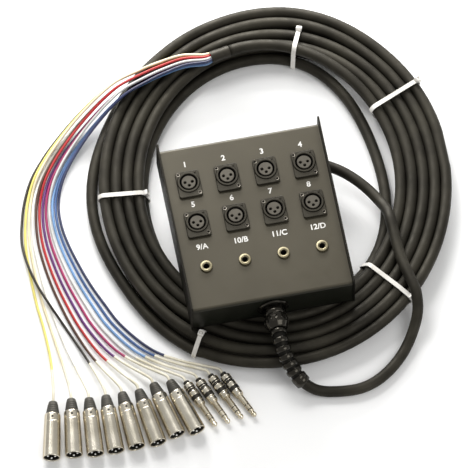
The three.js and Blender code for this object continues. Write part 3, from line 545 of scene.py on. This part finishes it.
def tail_jacket(name, tone):
    dark = tuple(part * 0.78 for part in tone)
    return moulded(f"tail_{name}", dark, tone, 0.32, 0.46, 500)


TAIL_JACKETS = [tail_jacket(name, tone) for name, tone in TAIL_TONES.items()]


def placed(name, data):
    thing = bpy.data.objects.new(name, data)
    bpy.context.scene.collection.objects.link(thing)
    return thing


# Meshes, made in millimetres; edges past the crease angle in degrees stay sharp
CREASE = 32
# How far from its corner a supporting ring lies
RING_OFFSET = 0.3


def creased(mesh, angle):
    for edge in mesh.edges:
        sharp = len(edge.link_faces) == 2 and edge.calc_face_angle() > math.radians(angle)
        edge.smooth = not sharp
    for face in mesh.faces:
        face.smooth = True


class Work:
    """Closed shells gathered into one piece; each face keeps the finish it was made with."""

    def __init__(self, *finishes):
        self.mesh = bmesh.new()
        self.finishes = finishes

    def shell(self, points, faces, looks, place=None):
        """Adds a closed shell; looks has one finish for each face."""
        where = place or Matrix.Identity(4)
        made = [self.mesh.verts.new(where @ Vector(point)) for point in points]
        for corners, finish in zip(faces, looks):
            face = self.mesh.faces.new([made[corner] for corner in corners])
            face.material_index = self.finishes.index(finish)

    def piece(self, name):
        creased(self.mesh, CREASE)
        bmesh.ops.recalc_face_normals(self.mesh, faces=self.mesh.faces)
        bmesh.ops.scale(self.mesh, vec=(MM, MM, MM), verts=self.mesh.verts)
        data = bpy.data.meshes.new(name)
        self.mesh.to_mesh(data)
        self.mesh.free()
        for finish in self.finishes:
            data.materials.append(finish)
        return placed(name, data)


def neighbours(row, closed):
    """Each item with the next, and the last with the first if the row is closed."""
    return list(zip(row, row[1:])) + ([(row[-1], row[0])] if closed else [])


def wall(lower, upper):
    """The faces between two rings of corners; a ring that is a single point gives triangles."""
    sides = zip(neighbours(lower, True), neighbours(upper, True))
    faces = [list(dict.fromkeys((a, b, d, c))) for (a, b), (c, d) in sides]
    return [face for face in faces if len(face) > 2]


def held(profile, closed):
    """Adds rings beside each corner, so that the flats between stay flat in the shading."""
    rings = []
    for here, there in neighbours(profile, closed):
        rings.append(here)
        gap = math.dist(here, there)
        if gap > RING_OFFSET * 3:
            for share in (RING_OFFSET / gap, 1 - RING_OFFSET / gap):
                rings.append(tuple(a + (b - a) * share for a, b in zip(here, there)))
    return rings if closed else [*rings, profile[-1]]


def turned(work, profile, sides, place=None, finish=None):
    """Turns a closed profile of (radius, height) about Z; points on the axis become poles."""
    points, rows = [], []
    closed = profile[0][0] > 1e-6 or profile[-1][0] > 1e-6
    for radius, height in held(profile, closed):
        if radius < 1e-6:
            rows.append([len(points)] * sides)
            points.append((0, 0, height))
            continue
        rows.append([len(points) + side for side in range(sides)])
        for side in range(sides):
            angle = math.tau * side / sides
            points.append((math.cos(angle) * radius, math.sin(angle) * radius, height))
    faces = [face for low, high in neighbours(rows, closed) for face in wall(low, high)]
    work.shell(points, faces, [finish or work.finishes[0]] * len(faces), place)


def circle(radius, sides, x=0, y=0):
    angles = [math.tau * side / sides for side in range(sides)]
    return [Vector((x + math.cos(a) * radius, y + math.sin(a) * radius)) for a in angles]


def rounded(width, height, corner, steps, x=0, y=0):
    """A rectangle's outline with round corners, about (x, y)."""
    outline = []
    for quarter, (right, up) in enumerate(((1, 1), (-1, 1), (-1, -1), (1, -1))):
        for step in range(steps + 1):
            angle = (quarter + step / steps) * math.pi / 2
            across = x + right * (width / 2 - corner) + math.cos(angle) * corner
            along = y + up * (height / 2 - corner) + math.sin(angle) * corner
            outline.append(Vector((across, along)))
    return outline


def inset(outline, by):
    """Moves a counter-clockwise outline inward."""
    moved = []
    count = len(outline)
    for index, point in enumerate(outline):
        along = outline[(index + 1) % count] - outline[index - 1]
        moved.append(point + Vector((-along.y, along.x)).normalized() * by)
    return moved


def plate(work, outer, holes, low, high, bevel, place=None):
    """A flat plate with holes, its upper edges bevelled, in the work's first finish."""
    points, faces = [], []

    def ring(outline, height):
        start = len(points)
        points.extend((point.x, point.y, height) for point in outline)
        return list(range(start, start + len(outline)))

    bottoms, tops = [], []
    for index, outline in enumerate([outer, *holes]):
        foot = ring(outline, low)
        edge = ring(outline, high - bevel)
        top = ring(inset(outline, bevel if index == 0 else -bevel), high)
        for face in wall(foot, edge) + wall(edge, top):
            faces.append(face if index == 0 else face[::-1])
        bottoms.append(foot)
        tops.append(top)
    for rings, upward in ((tops, True), (bottoms, False)):
        loops = [[Vector((points[i][0], points[i][1], 0)) for i in loop] for loop in rings]
        flat = [i for loop in rings for i in loop]
        for triangle in tessellate_polygon(loops):
            corners = [flat[i] for i in triangle]
            faces.append(corners if upward else corners[::-1])
    work.shell(points, faces, [work.finishes[0]] * len(faces), place)


def swept(work, route, sides, look_at):
    """A round tube along the route, carried on without twist.

    look_at gives the radius and the finish for the length run so far.
    """
    points, rings, finishes = [], [], []
    run = 0
    side = UP
    last = len(route) - 1
    for index, middle in enumerate(route):
        if index:
            run += (middle - route[index - 1]).length
        tangent = (route[min(last, index + 1)] - route[max(0, index - 1)]).normalized()
        side = (side - tangent * side.dot(tangent)).normalized()
        up = side.cross(tangent)
        reach, finish = look_at(run)
        for step in range(sides):
            angle = math.tau * step / sides
            points.append(middle + side * math.cos(angle) * reach + up * math.sin(angle) * reach)
        rings.append(list(range(index * sides, (index + 1) * sides)))
        finishes.append(finish)
    faces = [face for low, high in neighbours(rings, False) for face in wall(low, high)]
    looks = [finish for finish in finishes[:-1] for _ in range(sides)]
    ends = [rings[0][::-1], rings[-1]]
    work.shell(points, faces + ends, [*looks, finishes[0], finishes[-1]])


# Geometry Nodes
def node_tree(name, inputs):
    tree = bpy.data.node_groups.new(name, "GeometryNodeTree")
    tree.interface.new_socket("Geometry", in_out="INPUT", socket_type="NodeSocketGeometry")
    for label, kind in inputs.items():
        tree.interface.new_socket(label, in_out="INPUT", socket_type=kind)
    tree.interface.new_socket("Geometry", in_out="OUTPUT", socket_type="NodeSocketGeometry")
    return tree, node(tree, "NodeGroupInput"), node(tree, "NodeGroupOutput")


def finish_off(tree, start, end, geometry):
    """Every tree ends in real geometry with its finish."""
    real = node(tree, "GeometryNodeRealizeInstances")
    coated = node(tree, "GeometryNodeSetMaterial")
    tree.links.new(geometry, real.inputs[0])
    tree.links.new(real.outputs[0], coated.inputs["Geometry"])
    tree.links.new(start.outputs["Finish"], coated.inputs["Material"])
    tree.links.new(coated.outputs[0], end.inputs[0])


def copies_tree(name, along_line):
    """Copies of a pattern piece: on every point, or evenly spaced along a line and square to it."""
    inputs = {"Pattern": "NodeSocketObject", "Finish": "NodeSocketMaterial"}
    if along_line:
        inputs["Count"] = "NodeSocketInt"
    tree, start, end = node_tree(name, inputs)
    pattern = node(tree, "GeometryNodeObjectInfo")
    spread = node(tree, "GeometryNodeInstanceOnPoints")
    points = start.outputs["Geometry"]
    if along_line:
        places = node(tree, "GeometryNodeCurveToPoints")
        tree.links.new(points, places.inputs["Curve"])
        tree.links.new(start.outputs["Count"], places.inputs["Count"])
        tree.links.new(places.outputs["Rotation"], spread.inputs["Rotation"])
        points = places.outputs["Points"]
    tree.links.new(points, spread.inputs["Points"])
    tree.links.new(start.outputs["Pattern"], pattern.inputs["Object"])
    tree.links.new(pattern.outputs["Geometry"], spread.inputs["Instance"])
    finish_off(tree, start, end, spread.outputs["Instances"])
    return tree


def band_tree():
    """A flat band of rectangular section along a line."""
    inputs = {"Width": "NodeSocketFloat", "Thickness": "NodeSocketFloat"}
    tree, start, end = node_tree("band_on_line", {**inputs, "Finish": "NodeSocketMaterial"})
    section = node(tree, "GeometryNodeCurvePrimitiveQuadrilateral")
    sweep = node(tree, "GeometryNodeCurveToMesh", {"Fill Caps": True})
    tree.links.new(start.outputs["Width"], section.inputs["Width"])
    tree.links.new(start.outputs["Thickness"], section.inputs["Height"])
    tree.links.new(start.outputs["Geometry"], sweep.inputs["Curve"])
    tree.links.new(section.outputs["Curve"], sweep.inputs["Profile Curve"])
    finish_off(tree, start, end, sweep.outputs["Mesh"])
    return tree


COPIES = copies_tree("copies_on_points", False)
RINGS = copies_tree("rings_on_line", True)
BAND = band_tree()


def plain(thing):
    """Puts the mesh that the thing makes in its place, under its name."""
    evaluated = thing.evaluated_get(bpy.context.evaluated_depsgraph_get())
    data = bpy.data.meshes.new_from_object(evaluated)
    name = thing.name
    bpy.data.objects.remove(thing)
    data.name = name
    return placed(name, data)


def grown(thing, tree, values):
    """Runs a tree on the thing and keeps the plain mesh that comes out."""
    modifier = thing.modifiers.new(tree.name, "NODES")
    modifier.node_group = tree
    for item in tree.interface.items_tree:
        if item.in_out == "INPUT" and item.name in values:
            modifier[item.identifier] = values[item.name]
    return plain(thing)


def sharpened(thing, crease=CREASE):
    data = bmesh.new()
    data.from_mesh(thing.data)
    creased(data, crease)
    data.to_mesh(thing.data)
    data.free()
    return thing


def line(name, points, closed=False):
    data = bpy.data.curves.new(name, "CURVE")
    data.dimensions = "3D"
    spline = data.splines.new("POLY")
    spline.points.add(len(points) - 1)
    for point, place in zip(spline.points, points):
        point.co = (*(place * MM), 1)
    spline.use_cyclic_u = closed
    return placed(name, data)


def dressed(piece, slot, *nodes):
    """Rides on the object and stands for the given nodes; slot is not used."""
    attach(piece, "root")
    if nodes:
        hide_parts(*nodes)
    return piece


def repeated(name, work, places, slot, *nodes):
    """Copies a shape of one finish to every place, and dresses the copies as one piece."""
    data = bpy.data.meshes.new(name)
    data.from_pydata([place * MM for place in places], [], [])
    pattern = work.piece("pattern")
    values = {"Pattern": pattern, "Finish": work.finishes[0]}
    made = grown(placed(name, data), COPIES, values)
    bpy.data.objects.remove(pattern)
    return dressed(sharpened(made), slot, *nodes)


# Cable and tails
TAIL_IN_SLEEVE = 1.3
TAIL_COLOURED = 1.42
TAIL_WHITE = 1.55


def add_cable():
    route = cable_route()
    work = Work(CABLE_JACKET)
    swept(work, route, 20, lambda run: (CABLE_RADIUS, CABLE_JACKET))
    cable = dressed(work.piece("multicore_cable"), "jacket_rubber", "lead_cable", "main_coil")
    return cable, route


def add_tail(tail):
    route = tail_route(tail)
    whole = route_length(route)
    colour = TAIL_JACKETS[tail]
    bare = whole - INTO_PLUG - WHITE_LENGTHS[tail]

    def look_at(run):
        if run < INTO_SLEEVE + 2:
            return TAIL_IN_SLEEVE, colour
        return (TAIL_COLOURED, colour) if run < bare else (TAIL_WHITE, WHITE_SLEEVE)

    work = Work(colour, WHITE_SLEEVE)
    swept(work, route, 12, look_at)
    name = list(TAIL_TONES)[tail]
    piece = dressed(work.piece(f"tail_{name}"), f"tail_{name}", f"tail_{tail + 1}")
    return piece, route


cable, cable_line = add_cable()
tails = [add_tail(tail) for tail in range(TAIL_COUNT)]


# Breakout sleeve, in heat-shrink that draws in over the jacket
def set_along(foot, way):
    """Stands a turned shape on a point, its Z along the way."""
    turn = UP.rotation_difference(way).to_matrix().to_4x4()
    return Matrix.Translation(foot) @ turn


def add_sleeve():
    work = Work(SLEEVE_SHRINK)
    profile = [(0, 0.3), (6.1, 0.3), (6.55, 1.4), (6.6, 4), (6.35, 8), (6.5, 13), (6.6, 18)]
    profile += [(6.6, SLEEVE_LENGTH - 0.3), (6.45, SLEEVE_LENGTH), (6.25, SLEEVE_LENGTH - 0.1)]
    profile += [(6.1, SLEEVE_LENGTH - 1.4), (0, SLEEVE_LENGTH - 1.4)]
    turned(work, profile, 40, set_along(SLEEVE_FOOT, SLEEVE_WAY))
    return dressed(work.piece("breakout_shrink"), "sleeve_black", "breakout_sleeve")


sleeve = add_sleeve()


# Ties: strap, head with its slot, and the pawl in the slot
def hull(points):
    """The points' outline, counter-clockwise."""
    ordered = sorted(points, key=lambda point: (point.x, point.y))

    def half(row):
        kept = []
        for point in row:
            while len(kept) > 1 and (kept[-1] - kept[-2]).cross(point - kept[-2]) <= 0:
                kept.pop()
            kept.append(point)
        return kept[:-1]

    return half(ordered) + half(ordered[::-1])


def tie_centres(at_share, holds):
    """Middles of the strands that a tie holds: distance across the coil, and height."""
    centres = []
    turn = at_share
    while turn < COIL_TURNS:
        if holds(coil_steps(turn)):
            point = coil_point(turn)
            inner = on_coil(turn, 0, 0)
            centres.append(Vector((math.hypot(point.x - inner.x, point.y - inner.y), point.z)))
        turn += 1
    return centres


def add_tie(number, at_share, holds, lean):
    centres = tie_centres(at_share, holds)
    reach = CABLE_RADIUS + TIE_CLEARANCE
    middle = reach + TIE_THICKNESS / 2
    outline = hull([c + spot for c in centres for spot in circle(middle, 36)])
    first = max(range(len(outline)), key=lambda i: outline[i].y)
    outline = outline[first:] + outline[:first]
    angle = COIL_START + at_share * math.tau
    out = Vector((math.cos(angle), math.sin(angle), 0))
    foot = Matrix.Translation(on_coil(at_share, 0, 0))
    place = COIL_PLACE @ foot @ upright(out.cross(UP))
    loop = [place @ Vector((point.x, point.y, 0)) for point in outline]
    strap = line(f"tie_strap_{number}", loop, True)
    sizes = {"Width": TIE_WIDTH * MM, "Thickness": TIE_THICKNESS * MM, "Finish": TIE_NYLON}
    strap = grown(strap, BAND, sizes)
    lean = math.radians(lean)
    outward = Vector((math.sin(lean), math.cos(lean)))
    spot = max(centres, key=outward.dot) + outward * (reach + 0.3)
    head = Matrix.Rotation(-lean, 4, "Z") @ Matrix.Rotation(-math.pi / 2, 4, "X")
    head = Matrix.Translation((spot.x, spot.y, 0)) @ head
    work = Work(TIE_NYLON)
    slot = rounded(3.2, 4.4, 0.4, 3)
    plate(work, rounded(6.4, 6.4, 1.1, 5), [slot], 0, 4.6, 0.5, place @ head)
    pawl = rounded(2.6, 3.6, 0.4, 3)
    plate(work, pawl, [], 0.3, 3.4, 0.4, place @ head)
    head_piece = work.piece(f"tie_head_{number}")
    return joined(f"tie_{number}", sharpened(strap), head_piece)


def joined(name, *things):
    """Joins pieces of one object into one mesh."""
    data = bmesh.new()
    finishes = []
    for thing in things:
        start = len(data.faces)
        data.from_mesh(thing.data)
        data.faces.ensure_lookup_table()
        known = list(thing.data.materials)
        for finish in known:
            if finish not in finishes:
                finishes.append(finish)
        for face in data.faces[start:]:
            face.material_index = finishes.index(known[face.material_index])
        bpy.data.objects.remove(thing)
    mesh = bpy.data.meshes.new(name)
    data.to_mesh(mesh)
    data.free()
    for finish in finishes:
        mesh.materials.append(finish)
    return placed(name, mesh)


# Each tie: place round the coil, the strands it holds, and its head's lean outward in degrees
TIES = (
    (13 / 24, lambda steps: steps < 3, 45),
    (10 / 24, lambda steps: True, 40),
    (20 / 24, lambda steps: steps < 4.33, -60),
    (0, lambda steps: steps > 3.5, 0),
    (5 / 24, lambda steps: True, 40),
)
ties = [
    dressed(add_tie(number, *tie), "tie_nylon", f"cable_tie_{number}")
    for number, tie in enumerate(TIES, 1)
]


# Sockets for the microphone plugs
def add_sockets():
    flange = Work(CASTING)
    bore = circle(12.15, 48)
    ear_spots = ((-9.9, 12 - COLLAR_OFFSET), (9.9, -12 - COLLAR_OFFSET))
    ears = [circle(1.9, 20, x, y) for x, y in ear_spots]
    outline = rounded(26, 31, 3, 8, 0, -COLLAR_OFFSET)
    plate(flange, outline, [bore, *ears], SEAT_GAP, 3.1, 0.5)
    top = 4.5
    collar = [(9.8, -18), (9.8, top - 0.35), (10.1, top), (11.6, top), (12.1, top - 0.5)]
    collar += [(12.1, 1.6), (11.4, 1.6), (11.4, -20), (0, -20), (0, -18)]
    turned(flange, collar, 48)
    latch = rounded(6.4, 3.2, 0.7, 4, 6.6, 11.4)
    plate(flange, latch, [], 2.9, 3.9, 0.4)
    nodes = [f"mic_socket_{i}" for i in range(1, 9)]
    repeated("socket_castings", flange, SOCKET_PLACES, "socket_black", *nodes)

    # Painted shade: a near-black lining sheet in the slot between insert and collar, darker than
    # the casting it covers.
    groove = Work(BLACK_PLASTIC_AND_RECESS_SHADE)
    lining = [(7.9, -17.6), (9.75, -17.6), (9.75, 3.4), (9.6, 3.4), (9.6, -17), (7.9, -17)]
    turned(groove, lining, 48)
    repeated("socket_grooves", groove, SOCKET_PLACES, "socket_black")

    insert = Work(INSERT_GREY)
    spots = [(4, 0), (-4, 0), (0, -4)]
    holes = [circle(1.5, 20, x, y) for x, y in spots]
    plate(insert, circle(7.8, 48), holes, -17, 3.8, 0.45)
    nodes = [f"mic_insert_{i}" for i in range(1, 9)]
    repeated("socket_inserts", insert, SOCKET_PLACES, "insert_grey", *nodes)

    contact = Work(CONTACT_BRASS)
    turned(contact, [(0.95, -6), (1.42, -6), (1.42, -0.5), (0.95, -0.5)], 16)
    seats = [place + Vector((x, y, 0)) for place in SOCKET_PLACES for x, y in spots]
    repeated("socket_contacts", contact, seats, "pale_nickel")

    # Painted shade: near-black discs at the bottom of the contact bores.
    floor = Work(BLACK_PLASTIC_AND_RECESS_SHADE)
    turned(floor, [(0, -7), (1.4, -7), (1.4, -6.2), (0, -6.2)], 12)
    repeated("contact_floors", floor, seats, "insert_grey")

    eyelet = Work(EYELET_STEEL)
    rim = [(1.75, -2), (1.75, 3), (2.15, 3.05), (2.3, 3.35), (2, 3.6), (1.5, 3.55)]
    turned(eyelet, [(1, -2), *rim, (1, 3.1)], 24)
    seats = [place + Vector((x, y, 0)) for place in SOCKET_PLACES for x, y in ear_spots]
    repeated("socket_eyelets", eyelet, seats, "socket_black")


# Jack sockets: bevelled ring nut, and a black body with its bore
def add_jacks():
    nut = Work(JACK_NUT)
    face = [(6.7, SEAT_GAP), (6.7, 1.9), (6.2, 2.6), (4.7, 2.8), (4.3, 2.6), (3.25, 1.7)]
    turned(nut, [(4.75, SEAT_GAP), *face, (3.25, 1.2), (4.75, 1.2)], 48)
    nodes = [f"jack_socket_{letter}" for letter in "abcd"]
    repeated("jack_nuts", nut, JACK_PLACES, "pale_nickel", *nodes)

    body = Work(BLACK_PLASTIC_AND_RECESS_SHADE)
    profile = [(3.2, 1.1), (4.65, 1.1), (4.65, -2.3), (6.5, -2.3), (6.5, -21.3), (0, -21.3)]
    turned(body, [*profile, (0, -15.1), (3.2, -15.1)], 32)
    repeated("jack_bodies", body, JACK_PLACES, "pale_nickel")


# Numbers over the sockets, and those of the jack sockets under them
NUMBER_SIZE = 8.8
NUMBER_ABOVE = 24.5 - COLLAR_OFFSET
NUMBER_BELOW = -27 - COLLAR_OFFSET
NUMBER_LIFT = 0.06
NUMBER_BOLDNESS = 0.23
NUMBER_DEPTH = 0.03


def add_labels():
    rows = [(str(i + 1), SOCKET_PLACES[i], NUMBER_ABOVE) for i in range(8)]
    letters = zip(("9/A", "10/B", "11/C", "12/D"), SOCKET_PLACES[4:])
    rows += [(text, place, NUMBER_BELOW) for text, place in letters]
    marks = []
    for number, (text, place, above) in enumerate(rows):
        data = bpy.data.curves.new(f"number_{number}", "FONT")
        data.body = text
        data.size = NUMBER_SIZE * MM
        data.align_x = data.align_y = "CENTER"
        data.offset = NUMBER_BOLDNESS * MM
        data.extrude = NUMBER_DEPTH * MM
        data.resolution_u = 6
        mark = plain(placed(f"number_{number}", data))
        middle = place + Vector((0, above, NUMBER_LIFT))
        mark.data.transform(Matrix.Translation(middle * MM))
        mark.data.materials.clear()
        mark.data.materials.append(LABEL_INK)
        marks.append(mark)
    dressed(joined("channel_numbers", *marks), "panel_paint")


# Gland: flange, six-sided body, collar and thread, then the cap, curls and ring of the relief
def lying(y, z):
    """Stands a turned shape on the front wall, its Z pointing to -Y."""
    return Matrix.Translation((0, y, z)) @ Matrix.Rotation(math.pi / 2, 4, "X")


def add_gland():
    work = Work(GLAND_NYLON)
    seat = lying(FRONT_Y - SEAT_GAP, GLAND_Z)
    flange = [(16.2, 0), (17, 0.6), (17, 1.6), (16.2, 2.4), (14.2, 3)]
    turned(work, [(GLAND_BORE, 0), *flange, (GLAND_BORE, 3)], 64, seat)
    plate(work, circle(12.7, 6), [circle(GLAND_BORE, 40)], 2.9, 11.5, 0.7, seat)
    for reach, low, high in ((10.6, 11.3, GLAND_LENGTH), (8.8, -8, 0.2)):
        tube = [(GLAND_BORE, low), (reach, low), (reach, high), (GLAND_BORE, high)]
        turned(work, tube, 40, seat)
    dressed(work.piece("gland_shell"), "gland_nylon", "gland_body")

    cap = Work(GLAND_NYLON)
    foot = lying(CAP_END_Y + CAP_LENGTH, GLAND_Z)
    dome = [(12.4, 0), (13, 0.6), (13, 7.4), (12.4, 8.6), (10.9, 12), (10, CAP_LENGTH)]
    profile = [(GLAND_BORE, 0), *dome, (GLAND_BORE, CAP_LENGTH)]
    turned(cap, profile, 48, foot)
    ribs = 12
    for step in range(ribs):
        place = foot @ Matrix.Rotation(math.tau * step / ribs, 4, "Z")
        place = place @ Matrix.Translation((12.95, 0, 0))
        plate(cap, rounded(0.5, 2.6, 0.2, 2), [], 0.8, 7.2, 0.1, place)
    route = smooth_route(LEAD_STATIONS, 12)
    start, end = (station * 12 for station in RELIEF_STATIONS)
    way = (route[end + 1] - route[end - 1]).normalized()
    ring = set_along(route[end], way)
    outer = circle(9.2, 8)
    plate(cap, outer, [circle(6.7, 32)], -4.5, 4.5, 1.1, ring)
    cap_piece = cap.piece("relief_ends")

    core = Work(RELIEF_CORE)
    swept(core, route[start : end + 1], 28, lambda run: (6.75, RELIEF_CORE))
    core_piece = core.piece("relief_core")
    curl = Work(GLAND_NYLON)
    section = [(point.x, point.y * 2.5) for point in circle(1.25, 14, 7.65)]
    turned(curl, section, 36, Matrix.Rotation(math.radians(12), 4, "X"))
    curl_piece = curl.piece("curl")
    middle_line = line("relief_curls", route[start + 4 : end - 3])
    curls = grown(middle_line, RINGS, {"Pattern": curl_piece, "Count": 7, "Finish": GLAND_NYLON})
    bpy.data.objects.remove(curl_piece)
    relief = joined("strain_relief_wound", cap_piece, core_piece, sharpened(curls, 60))
    return dressed(relief, "gland_nylon", "strain_relief")


# Plugs
SHAFT_RADIUS = 3.175
RING_RADIUS = 3.12


def add_mic_plug(number, place):
    work = Work(NICKEL, BOOT_RUBBER, PLUG_BLACK, PIN_SILVER)
    boot = [(0, 0), (4.2, 0), (4.8, 0.7), (5.3, 3)]
    for rib in range(4):
        low = 4 + rib * 2.4
        reach = 5.5 + rib * 0.42
        boot += [(reach, low), (reach + 0.35, low + 0.4)]
        boot += [(reach + 0.35, low + 1.4), (reach + 0.1, low + 1.8)]
    boot += [(7.3, 14.6), (7.4, 15.4), (0, 15.4)]
    turned(work, boot, 40, place, BOOT_RUBBER)
    shell = [(0, 15), (7.9, 15), (8.4, 15.5), (8.55, 16.4), (8.75, 24), (8.6, 24.2)]
    shell += [(8.6, 24.8), (8.77, 25), (9.45, 63.6), (MIC_RADIUS, 64.4), (MIC_RADIUS, 65.5)]
    shell += [(9.2, MIC_LENGTH), (8.5, MIC_LENGTH), (8.2, 65.4), (8.2, 47), (0, 47)]
    turned(work, shell, 48, place)
    lining = [(0, 49), (8.15, 49), (8.15, 64.2), (7.95, 64.2), (7.95, 52), (0, 52)]
    turned(work, lining, 48, place, PLUG_BLACK)
    for x, y in ((3.9, 1.6), (-3.9, 1.6), (0, -3.9)):
        pin = place @ Matrix.Translation((x, y, 0))
        tip = [(1.35, 63.6), (1.15, 64.6), (0.6, 65.2), (0, 65.3)]
        turned(work, [(0, 51), (1.35, 51), *tip], 20, pin, PIN_SILVER)
    screw = place @ Matrix.Translation((0, 8.4, 20)) @ Matrix.Rotation(-math.pi / 2, 4, "X")
    head = [(0, 0), (1.3, 0), (1.3, 0.55), (0.7, 0.6), (0.5, 0.3), (0, 0.3)]
    turned(work, head, 16, screw, BOOT_RUBBER)
    return dressed(work.piece(f"microphone_plug_{number}"), "nickel", f"mic_plug_{number}")


def add_jack_plug(letter, place):
    work = Work(NICKEL, SHAFT_PLATE, PLUG_BLACK)
    tail = [(0, 0), (3.2, 0), (3.6, 0.5), (3.6, 4), (0, 4)]
    turned(work, tail, 32, place, PLUG_BLACK)
    barrel = [(0, 3.9), (5.2, 3.9), (JACK_RADIUS, 4.6), (JACK_RADIUS, 8.4), (5.5, 8.7), (5.5, 11)]
    barrel += [(5, 11.2), (5, 13), (5.5, 13.2), (5.5, 14.6), (JACK_RADIUS, 14.9)]
    barrel += [(JACK_RADIUS, 19.4), (5.5, 19.7), (5.5, 24.8), (5, 25.2), (5, 26.8), (5.1, 27)]
    barrel += [(5.1, 30.8), (4.7, 31.6), (4, 32), (0, 32)]
    turned(work, barrel, 40, place)
    bands = ((8.8, 10.9, 5.72), (13.3, 14.5, 5.72), (19.8, 24.7, 5.72), (11.1, 13.1, 5.15))
    edge = 0.15
    for low, high, reach in bands:
        band = [(4.8, low), (reach - edge, low), (reach, low + edge)]
        band += [(reach, high - edge), (reach - edge, high), (4.8, high)]
        turned(work, band, 40, place, PLUG_BLACK)
    shaft = [(0, 31.8), (4.2, 31.8), (4.2, 32.8), (SHAFT_RADIUS, 33.2), (SHAFT_RADIUS, 45.4)]
    turned(work, [*shaft, (0, 45.4)], 32, place, SHAFT_PLATE)
    rings = (
        (45.4, 46.4, RING_RADIUS, PLUG_BLACK),
        (46.4, 51.6, SHAFT_RADIUS, SHAFT_PLATE),
        (51.6, 52.6, RING_RADIUS, PLUG_BLACK),
    )
    for low, high, reach, finish in rings:
        turned(work, [(0, low), (reach, low), (reach, high), (0, high)], 32, place, finish)
    tip = [(0, 52.6), (3.1, 52.6), (3.1, 53.6), (2.2, 56.2), (2.25, 56.8), (3.0, 58.6), (2.9, 59.4)]
    tip += [(1.9, 61.3), (1.1, 61.9), (0, JACK_LENGTH)]
    turned(work, tip, 32, place, SHAFT_PLATE)
    return dressed(work.piece(f"jack_plug_dressed_{letter}"), "nickel", f"jack_plug_{letter}")


add_sockets()
add_jacks()
add_labels()
relief = add_gland()
plugs = [add_mic_plug(i + 1, PLUG_POSES[i][2]) for i in range(8)]
plugs += [add_jack_plug(letter, PLUG_POSES[8 + i][2]) for i, letter in enumerate("abcd")]

# Finishes on the nodes that stay
STAYING = {
    "panel_shell": PANEL_ENAMEL_AND_WALL_SHADE,
    "left_cheek": CHEEK_ENAMEL,
    "right_cheek": CHEEK_ENAMEL,
    "base_plate": CHEEK_ENAMEL,
    "gland_locknut": GLAND_NYLON,
}
for name, finish in STAYING.items():
    for slot in bpy.data.objects[name].material_slots:
        slot.material = finish


# Floor and light
def add_floor():
    material, tree, shader = new_finish("pale_floor", (0.86, 0.86, 0.855), 0.75)
    toned(tree, shader, grain(tree, 3, 3), (0.85, 0.85, 0.845), (0.87, 0.87, 0.865))
    data = bpy.data.meshes.new("floor")
    reach = 6
    level = FLOOR_Z * MM - 0.0002
    sides = ((-reach, -reach), (reach, -reach), (reach, reach), (-reach, reach))
    data.from_pydata([(x, y, level) for x, y in sides], [], [(0, 1, 2, 3)])
    data.materials.append(material)
    placed("floor", data)


def add_light(name, place, target, size, watts):
    data = bpy.data.lights.new(name, "AREA")
    data.shape = "RECTANGLE"
    data.size, data.size_y = size
    data.energy = watts
    light = placed(name, data)
    light.location = place
    light.rotation_euler = (Vector(target) - Vector(place)).to_track_quat("-Z", "Y").to_euler()


def add_world():
    world = bpy.data.worlds.new("studio")
    world.use_nodes = True
    background = world.node_tree.nodes["Background"]
    background.inputs["Color"].default_value = (1, 1, 1, 1)
    background.inputs["Strength"].default_value = 0.5
    bpy.context.scene.world = world


add_floor()
add_world()
# Place, target and size in metres, then watts
add_light("key", (-0.5, 1.35, 1.05), (0, 0, 0), (1.2, 1.2), 20)
add_light("panel_sheen", (-0.1, 0.7, 0.95), (-0.05, 0.05, 0), (0.42, 0.3), 4.5)
add_light("front_fill", (0.7, -0.75, 1.1), (0.05, -0.1, 0), (0.9, 0.9), 8)
add_light("coil_rim", (0.15, 1.1, 0.35), (0.05, 0.2, -0.05), (0.9, 0.3), 24)
bpy.context.scene.view_settings.view_transform = "Standard"
